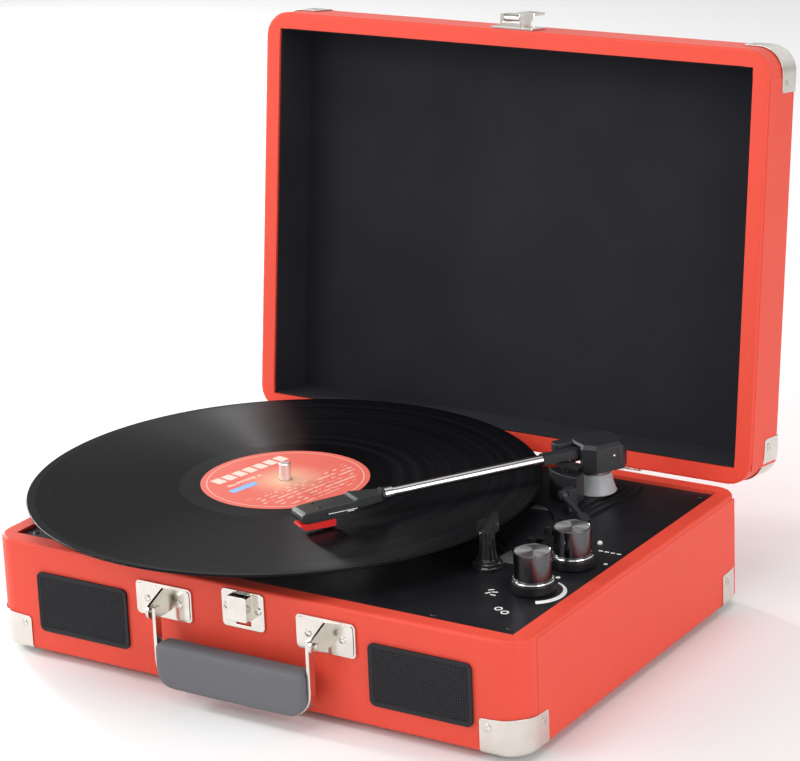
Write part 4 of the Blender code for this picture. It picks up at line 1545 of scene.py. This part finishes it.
# ---- the deck and its controls --------------------------------------------------------------------
@dataclass
class Deck:
    """The black top panel with its raised island, marks, screws, light and switch buttons."""

    body: str = "base"
    top: float = 63.0
    ink: float = 0.12
    arc_inner: float = 16.0
    arc_outer: float = 18.0
    arc_offset: Point = (1.0, -1.6, 0.0)
    arc_ends: tuple[float, float] = (math.radians(155), math.radians(213))
    half_size: tuple[float, float] = (165.3, 118.3)
    corner_reach: float = 7.8
    corner_skin: float = 0.18
    screw_spots: tuple[tuple[float, float], ...] = (
        (157.5, -108.0), (158.0, 112.0), (-158.0, -110.0), (-158.0, 110.0), (30.0, 113.0), (112.0, -110.0)
    )

    def build(self) -> None:
        """The panel and what is fixed to it."""
        panel = Work.of_node("deck_panel", "deck_plate")
        for block in corner_blocks(*self.half_size, self.top - self.corner_skin, self.top, self.corner_reach):
            panel.fuse(block)
        panel.pick(lambda c, d: c.z > 64.3 and abs(d.z) < 0.3, Kind.EDGE).round_edges(0.55, 3)
        panel.soften(0.3, 2, 40).done(DECK, self.body, "deck_plate")
        dress_node("circuit_board", BOARD, self.body, 0.0)
        dress_node("power_led", LENS, self.body, 0.0)
        for node in ("speed_slider", "auto_stop_slider"):
            dress_node(node, ISLAND, node, 0.4, 2)
        self._facets()
        self._marks()
        places = [Facing.UP.matrix((x, y, self.top)) for x, y in self.screw_spots]
        CrossScrew(radius=1.9, height=0.5).scatter("deck_screws", places, self.body, ISLAND_SCREW)

    def _facets(self) -> None:
        """The moulded nose and step at the island's left edge, with sloping sides, in a grey copy of the
        black panel that paints the highlight they catch.
        """
        blocks = []
        for name, width, depth, height, spot, turn in (
            ("nose", 14.0, 13.0, 2.4, (107.5, -22.5, self.top - 0.1), 0.0),
            ("step", 17.0, 8.0, 2.2, (87.0, 48.5, self.top + 1.4), 8.0),
        ):
            block = Work.slab(name, width, depth, height, 1.0, 3)
            block.pick(lambda c, n: n.z > ALONG).grow((0.72, 0.66, 1), (width / 2, depth / 2, height))
            blocks.append(block.lay(Matrix.Translation(spot) @ Matrix.Rotation(math.radians(turn), 4, "Z")))
        # Painted highlight: the facets wear a grey copy of the black panel instead of catching the light
        # themselves.
        joined("island_facets", blocks).soften(0.3, 2).done(PAINTED_HIGHLIGHT_FACET, self.body)

    def _marks(self) -> None:
        """Plain printed marks: the volume crescent, dots, rings and short bars."""
        knob = middle("volume_knob")
        led = middle("power_led")
        function = middle("function_knob")
        marks = [self._crescent(knob)]
        marks.append(self._dot(1.3, knob.x + 3.0, knob.y + 21.5))
        marks.append(self._dot(1.2, function.x + 15.5, function.y + 9.0))
        for k in range(4):
            marks.append(self._bar(2.6, 1.1, led.x + 6.0 + 3.8 * k, led.y - 10.0, 8.0))
        for x, y, turn in ((-20.5, -10.0, 40), (-17.0, -12.0, 20), (-20.0, -14.5, 60), (-16.0, -16.0, 0)):
            marks.append(self._bar(3.4, 1.0, knob.x + x, knob.y + y, turn))
        for x, y in ((-3.6, -31.0), (2.0, -34.0)):
            marks.append(self._loop(1.5, 2.3, knob.x + x, knob.y + y))
        joined("deck_marks", marks).done(INK, self.body)

    def _crescent(self, knob: Vector) -> Work:
        """A crescent round the volume knob, thickest at its front right.

        Args:
            knob: the middle of the volume knob.

        Returns:
            The crescent on the bench.
        """
        outer = [(self.arc_outer, 0), (self.arc_outer, self.ink)]
        arc = Work.turned("crescent", outer, 96).lay(Matrix.Translation(self.arc_offset))
        arc.carve(Work.turned("middle", [(self.arc_inner, -1), (self.arc_inner, 1)], 96))
        for end in self.arc_ends:
            arc.trim((0, 0, 0), (math.cos(end), math.sin(end), 0))
        return arc.lay(Matrix.Translation((knob.x, knob.y, self.top)))

    def _dot(self, radius: float, x: float, y: float) -> Work:
        """A printed dot."""
        dot = Work.turned("dot", [(radius, 0), (radius, self.ink)], 20)
        return dot.lay(Matrix.Translation((x, y, self.top)))

    def _bar(self, length: float, width: float, x: float, y: float, turn: float) -> Work:
        """A printed bar."""
        bar = Work.slab("bar", length, width, self.ink, width * 0.3, 2)
        return bar.lay(Matrix.Translation((x, y, self.top)) @ Matrix.Rotation(math.radians(turn), 4, "Z"))

    def _loop(self, inner: float, outer: float, x: float, y: float) -> Work:
        """A printed ring."""
        loop = Work.ring("loop", [(inner, 0), (outer, 0), (outer, self.ink), (inner, self.ink)], 24)
        return loop.lay(Matrix.Translation((x, y, self.top)))


@dataclass
class Knob:
    """A control knob: dark chrome drum, spun face, bright ring and black skirt."""

    node: str
    radius: float = 10.5
    face_colour: Colour = (0.88, 0.88, 0.88)

    def build(self) -> None:
        """The knob's four pieces, all turning together."""
        low, high = span(self.node)
        place = Matrix.Translation((middle(self.node).x, middle(self.node).y, 0))
        r, top, foot = self.radius, high.z, 63.5
        drum = [(r - 0.4, 69.8), (r - 0.1, 70.6), (r, 71.4), (r, top - 0.5), (r - 0.15, top - 0.15)]
        drum += [(r - 0.4, top), (r - 0.6, top), (r - 0.8, top - 0.2)]
        Work.turned(f"{self.node}_drum", drum, 72).lay(place).done(KNOB_SIDE, self.node, self.node)
        centre = (*place.translation[:2], 0)
        face = Turned(f"{self.node}_spun", "knob_chrome", self.face_colour, 0.30, centre=centre)
        dish = [(r - 0.8, top - 0.5), (r - 0.8, top - 0.18), (0.6, top - 0.06)]
        disc = Work.turned(f"{self.node}_face", dish, 72)
        disc.lay(place).done(face, self.node)
        ring = [(r - 0.4, 69.2), (r + 0.9, 69.2), (r + 1.15, 69.6), (r + 0.9, 70.1), (r + 0.2, 70.3)]
        ring += [(r - 0.4, 70.2)]
        Work.ring(f"{self.node}_ring", ring, 72).lay(place).done(KNOB_RING, self.node)
        skirt = [(r - 2, foot), (r + 1.6, foot), (r + 1.8, foot + 0.5), (r + 1.75, 68.2), (r + 1.3, 69.0)]
        skirt += [(r - 0.5, 69.25)]
        Work.turned(f"{self.node}_skirt", skirt, 72).lay(place).done(SKIRT, self.node)


@dataclass
class BackPanel:
    """The socket panel on the case's back."""

    body: str = "base"

    def build(self) -> None:
        """The panel, its coloured socket collars and two screws."""
        dress_node("jack_panel", ISLAND, self.body, 0.3)
        low, high = span("jack_panel")
        centre = middle("jack_panel")
        face = low.y + 7.6
        collars = ((-22.0, NEEDLE, "red"), (-8.0, INK, "white"))
        for x, finish, word in collars:
            ring = Work.ring(f"socket_collar_{word}", [(4.3, 0), (5.4, 0), (5.4, 1.6), (4.3, 1.6)], 36)
            place = Facing.BACK.matrix((centre.x + x, face, centre.z))
            ring.soften(0.2, 2).lay(place).done(finish, self.body)
        places = [Facing.BACK.matrix((centre.x + side * 28.6, face, centre.z + 7)) for side in (-1, 1)]
        CrossScrew(radius=1.7, height=0.5).scatter("socket_panel_screws", places, self.body)


# ---- the platter and its drive --------------------------------------------------------------------
@dataclass
class PlatterStack:
    """Platter, felt mat, record with its label, spindle, and the drive under them."""

    body: str = "platter"
    label: float = 50.0
    gaps: tuple[float, ...] = (71.0, 88.0, 103.0, 121.0, 134.0)

    def build(self) -> None:
        """Everything that turns, and the drive."""
        pivot, _ = joint("platter_spin")
        self.place = Matrix.Translation((pivot.x, pivot.y, 0))
        self.centre = (pivot.x, pivot.y, 0.0)
        self._platter()
        self._record()
        self._label()
        self._spindle()
        dress_node("bearing_bush", BRASS, "base", 0.2)
        dress_node("drive_motor", STEEL, "base", 0.3)
        dress_node("drive_belt", RUBBER, "base", 0.0)
        dress_node("motor_pulley", BRASS, "motor_rotor", 0.2)

    def _platter(self) -> None:
        """The platter and the felt mat on it."""
        dress_node("platter", PLATTER, self.body, 0.3)
        low, high = span("slipmat")
        radius = (high.x - low.x) / 2
        profile = [(4.0, low.z), (radius - 0.3, low.z), (radius, low.z + 0.4), (radius - 0.3, high.z)]
        profile += [(4.0, high.z)]
        Work.ring("felt_mat", profile, 128).lay(self.place).done(FELT, self.body, "slipmat")

    def _record(self) -> None:
        """The record: raised label land and rim bead, and a shallow band between tracks."""
        low, high = span("record")
        edge, top, under = (high.x - low.x) / 2, high.z, low.z
        groove = top - 0.3
        upper = [(3.62, top), (self.label, top), (self.label + 1.6, groove)]
        for gap in self.gaps:
            upper += [(gap - 0.5, groove), (gap - 0.3, groove - 0.05)]
            upper += [(gap + 0.3, groove - 0.05), (gap + 0.5, groove)]
        upper += [(edge - 3.2, groove), (edge - 2.6, groove + 0.08), (edge - 1.4, top - 0.12)]
        upper += [(edge - 0.7, top - 0.2), (edge - 0.15, top - 0.5), (edge, (top + under) / 2)]
        upper += [(edge - 0.15, under + 0.5)]
        lower = [(edge - 0.7, under + 0.2), (edge - 1.4, under + 0.1), (edge - 3.0, under + 0.3)]
        lower += [(self.label + 1.6, under + 0.3), (self.label, under), (3.62, under)]
        vinyl = Vinyl("record_vinyl", "vinyl", (0.0034, 0.0034, 0.0042), 0.28, centre=self.centre, edge=edge)
        Work.ring("record_disc", upper + lower, 192).lay(self.place).done(vinyl, self.body, "record")

    def _label(self) -> None:
        """The paper label on the record's land, with a small plain sticker."""
        top = span("record")[1].z
        radius = self.label - 0.4
        profile = [(3.9, top - 0.02), (radius - 0.1, top - 0.02), (radius, top + 0.05)]
        profile += [(radius - 0.15, top + 0.10), (15.6, top + 0.10), (15.2, top + 0.04), (14.8, top + 0.10)]
        profile += [(3.9, top + 0.10)]
        paper = LabelPaper("label_paper", "felt", (0.74, 0.135, 0.095), 0.5, centre=self.centre)
        Work.ring("record_label", profile, 128).lay(self.place).done(paper, self.body)
        turn = Matrix.Rotation(paper.heading, 4, "Z")
        sticker = Work.slab("label_sticker", 20.0, 5.2, 0.06, 0.4, 2)
        along, across = -25.0, 9.0
        place = self.place @ turn @ Matrix.Translation((along, across, top + 0.10))
        sticker.lay(place).done(STICKER, self.body)

    def _spindle(self) -> None:
        """The bright spindle pin with a rounded nose."""
        low, high = span("spindle")
        r, top = (high.x - low.x) / 2, high.z
        profile = [(r, low.z), (r, top - 0.9), (r - 0.25, top - 0.35), (r - 0.8, top), (0.4, top)]
        Work.turned("spindle_pin", profile, 48).lay(self.place).done(SPINDLE, self.body, "spindle")


# ---- the tonearm ----------------------------------------------------------------------------------
@dataclass
class Tonearm:
    """The tonearm on its pivot: collar, yoke, housing, bar, tube, headshell, cartridge and stylus."""

    carriage: str = "arm_carriage"
    arm: str = "tonearm"
    tube_inner: float = 2.3
    tube_outer: float = 3.0
    tube_start: float = 36.2
    tube_end: float = 133.6
    wing: tuple[Point, Point] = ((9.0, -12.8, 93.0), (23.5, -4.4, 98.2))

    def build(self) -> None:
        """Every piece of the arm and what it stands on."""
        pivot, axis = joint("tonearm_lift")
        heading = math.atan2(axis.x, -axis.y)
        self.place = Matrix.Translation((pivot.x, pivot.y, 0)) @ Matrix.Rotation(heading, 4, "Z")
        self.height = pivot.z
        self._pivot()
        self._bar()
        self._headshell()
        self._cartridge()
        for node, body in (("lift_block", "base"), ("cue_bracket", "base"), ("cue_lever", "cue_lever")):
            dress_node(node, ARM, body, 0.5, 3)
        dress_node("lift_platform", ISLAND, "lift_platform", 0.4)
        self._rest()

    def _pivot(self) -> None:
        """The grey collar, the yoke and the eight-sided housing."""
        low, high = span("pivot_collar")
        base, top = low.z, high.z
        profile = [(3.08, base), (12.2, base), (12.4, base + 0.5), (11.9, base + 1.4), (10.4, base + 6.0)]
        profile += [(9.6, top - 2.0), (9.6, top - 0.4), (9.2, top), (3.08, top)]
        collar = Work.ring("pivot_collar_grey", profile, 64)
        centre = middle("pivot_collar")
        collar.lay(Matrix.Translation((centre.x, centre.y, 0))).done(HUB, "base", "pivot_collar")
        dress_node("pivot_yoke", STEEL, self.carriage, 0.3)
        housing = Work.of_node("pivot_housing_cap", "pivot_housing")
        for y0, y1 in ((13.2, 13.7), (-13.7, -13.2)):
            window = Work.block("window", (-7.6, y0, 86.2), (-2.6, y1 + 0.2, 94.6))
            housing.carve(window.lay(self.place))
        housing.soften(0.8, 3, 30).done(ARM, self.carriage, "pivot_housing")
        wing = Work.block("housing_wing", *self.wing)
        wing.pick(lambda c, d: abs(d.z) > ALONG and c.x > 20, Kind.EDGE).round_edges(3.4, 6)
        wing.soften(0.7, 3, 50).lay(self.place).done(ARM, self.carriage)
        sides = ((Facing.BACK, 13.1), (Facing.FRONT, -13.1))
        places = [self.place @ facing.matrix((-5.1, y, 91.2)) for facing, y in sides]
        CrossScrew(radius=0.9, height=0.35, slot=0.3).scatter("housing_screws", places, self.carriage, STEEL)

    def _bar(self) -> None:
        """The square bar and the bright tube with its lock nut."""
        dress_node("arm_block", ARM, self.arm, 0.4, 3)
        bore, skin, start, end = self.tube_inner, self.tube_outer, self.tube_start, self.tube_end
        tube = Work.ring("arm_tube_bright", [(bore, start), (skin, start), (skin, end), (bore, end)], 40)
        tube.soften(0.15, 2)
        nut = [(bore, end - 0.2), (3.2, end - 0.2), (3.9, end + 0.3), (3.9, end + 5.4), (3.5, end + 5.7)]
        nut += [(bore, end + 5.7)]
        lock = Work.ring("arm_lock_nut", nut, 40)
        band = [(bore, end + 5.7), (4.1, end + 5.7), (4.3, end + 6.0), (4.3, end + 7.3), (bore, end + 7.4)]
        collar = Work.ring("arm_end_collar", band, 40)
        turn = self.place @ Matrix.Translation((0, 0, self.height)) @ Matrix.Rotation(math.pi / 2, 4, "Y")
        tube.lay(turn).done(TUBE, self.arm, "arm_tube")
        lock.lay(turn).done(TUBE, self.arm)
        collar.lay(turn).done(ARM, self.arm)

    def _headshell(self) -> None:
        """The headshell with its rear neck, side flanges, top screws and contact pins."""
        work = Work.of_node("headshell_cover", "headshell")
        work.soften(0.55, 3, 20).done(SHELL, self.arm, "headshell")
        low = 91.2
        flanges = []
        for side in (-1, 1):
            y0, y1 = sorted((side * 7.0, side * 8.1))
            flange = Work.block("flange", (159.0, y0, low - 0.6), (177.0, y1, low + 0.25))
            flanges.append(flange.soften(0.15, 2).lay(self.place))
        joined("headshell_flanges", flanges).done(STEEL, self.arm)
        pins = []
        for side in (-1, 1):
            for k in range(2):
                pin = Work.turned("pin", [(0.45, 0), (0.45, 4.6), (0.25, 5.0)], 12)
                spot = Matrix.Translation((159.6, side * (2.2 + 2.4 * k), 89.2))
                pins.append(pin.lay(self.place @ spot @ Matrix.Rotation(math.pi / 2, 4, "Y")))
        joined("cartridge_pins", pins).done(STEEL, self.arm)
        places = [self.place @ Facing.UP.matrix((181.0, side * 4.4, 94.55)) for side in (-1, 1)]
        screw = CrossScrew(radius=1.1, height=0.4, slot=0.35)
        screw.scatter("headshell_screws", places, self.arm, ISLAND_SCREW)

    def _cartridge(self) -> None:
        """The cartridge body and the red stylus holder with its tip."""
        dress_node("cartridge", ARM, self.arm, 0.5, 3)
        dress_node("stylus", NEEDLE, self.arm, 0.3, 2)

    def _rest(self) -> None:
        """The smoked arm rest: a ringed flange, a tapering post and the cradle."""
        low, high = span("arm_rest")
        centre = middle("arm_rest")
        rest = Work.of_node("arm_rest_post", "arm_rest")
        profile = [(7.9, low.z), (8.0, 64.2), (7.3, 64.9), (5.6, 65.2), (5.6, 66.4), (6.9, 66.8), (6.9, 67.7)]
        profile += [(5.5, 68.2), (5.2, 69.5), (4.5, 77.0), (4.5, 84.0)]
        rest.fuse(Work.turned("post", profile, 40).lay(Matrix.Translation((centre.x, centre.y, 0))))
        rest.soften(0.3, 3).done(SMOKE, "base", "arm_rest")


# ---- the studio -----------------------------------------------------------------------------------
@dataclass
class Studio:
    """Pale floor, soft boxes and the camera."""

    camera_place: Point = (857.31, -1273.18, 637.05)
    yaw: float = math.radians(32.15)
    pitch: float = math.radians(-16.16)
    roll: float = math.radians(-2.07)
    lens: float = 126.57
    shift: tuple[float, float] = (-0.0563, -0.1029)
    floor_colour: Colour = (0.90, 0.90, 0.90)
    soft_boxes: tuple[tuple[str, Point, float, float], ...] = (
        ("key", (-1300, -1900, 1400), 1400, 19.0),
        ("top", (-100, -200, 2200), 1500, 13.0),
        ("right", (2200, -700, 700), 1500, 19.0),
        ("left", (-2000, -250, 800), 260, 20.0),
        ("back_left", (-1900, 900, 620), 240, 20.0),
    )
    aim: Point = (0, 0, 120)
    sky_strength: float = 0.86
    sky: tuple[tuple[float, float], ...] = (
        (0.0, 0.9), (0.50, 0.7), (0.60, 1.0), (0.80, 1.0), (0.84, 0.12), (0.91, 0.12), (0.95, 1.0)
    )

    def build(self) -> None:
        """The floor, the lights, the surroundings and the camera."""
        self._floor()
        self._lights()
        self._world()
        self._camera()

    def _floor(self) -> None:
        """A wide pale floor at the feet."""
        clear_selection()
        low, _ = cad_bounds
        bpy.ops.mesh.primitive_plane_add(size=24.0, location=(0, 4.0, low[2] - 0.0002))
        floor = bpy.context.object
        floor.name = "studio_floor"
        graph = Graph("floor_paper")
        drift = graph.noise(graph.place(), 900.0)
        shade = tuple(c * 0.985 for c in self.floor_colour)
        floor.data.materials.append(
            graph.shade(Base_Color=graph.blend(drift, shade, self.floor_colour), Roughness=0.65)
        )

    def _lights(self) -> None:
        """Soft boxes at the front left, above, at the right and low on the left, all aimed at the case."""
        for name, place, size, power in self.soft_boxes:
            light = bpy.data.lights.new(name, "AREA")
            light.energy = power
            light.size = size * MM
            lamp = bpy.data.objects.new(name, light)
            lamp.location = Vector(place) * MM
            towards = Vector(self.aim) * MM - lamp.location
            lamp.rotation_euler = towards.to_track_quat("-Z", "Y").to_euler()
            bpy.context.scene.collection.objects.link(lamp)

    def _world(self) -> None:
        """Pale surroundings with a darker band high up, which the bright metal reflects."""
        world = bpy.data.worlds.new("studio")
        graph = Graph("studio", world)
        sky = Tone(graph, graph.node("TexCoord").outputs["Generated"])
        height = graph.axes(sky)[2]
        grey = graph.out("ValToRGB", {"stops": self.sky}, {0: height * 0.5 + 0.5})
        world.node_tree.links.new(grey.socket, graph.shader.inputs["Color"])
        graph.shader.inputs["Strength"].default_value = self.sky_strength
        bpy.context.scene.world = world
        bpy.context.scene.view_settings.view_transform = "Standard"

    def _camera(self) -> None:
        """A camera with a long lens and everything in focus."""
        forward = Vector((
            -math.sin(self.yaw) * math.cos(self.pitch),
            math.cos(self.yaw) * math.cos(self.pitch),
            math.sin(self.pitch),
        ))
        right = Vector((math.cos(self.yaw), math.sin(self.yaw), 0))
        up = right.cross(forward)
        turned_right = right * math.cos(self.roll) + up * math.sin(self.roll)
        turned_up = up * math.cos(self.roll) - right * math.sin(self.roll)
        data = bpy.data.cameras.new("camera")
        data.sensor_width = 36.0
        data.lens = self.lens
        data.shift_x, data.shift_y = self.shift
        data.clip_start, data.clip_end = 0.05, 60.0
        camera = bpy.data.objects.new("camera", data)
        rotation = Matrix((turned_right, turned_up, -forward)).transposed()
        camera.matrix_world = Matrix.Translation(Vector(self.camera_place) * MM) @ rotation.to_4x4()
        bpy.context.scene.collection.objects.link(camera)
        bpy.context.scene.camera = camera


def main() -> None:
    """Builds the record player's looks and the studio."""
    logging.basicConfig(level=logging.INFO, format="%(message)s")
    Studio().build()
    base = CarryingCase()
    base.build()
    Lid(base=base).build()
    FrontFittings().build()
    Deck().build()
    for node in ("volume_knob", "function_knob"):
        Knob(node).build()
    BackPanel().build()
    PlatterStack().build()
    Tonearm().build()
    clear_selection()


if __name__ == "__main__":
    main()
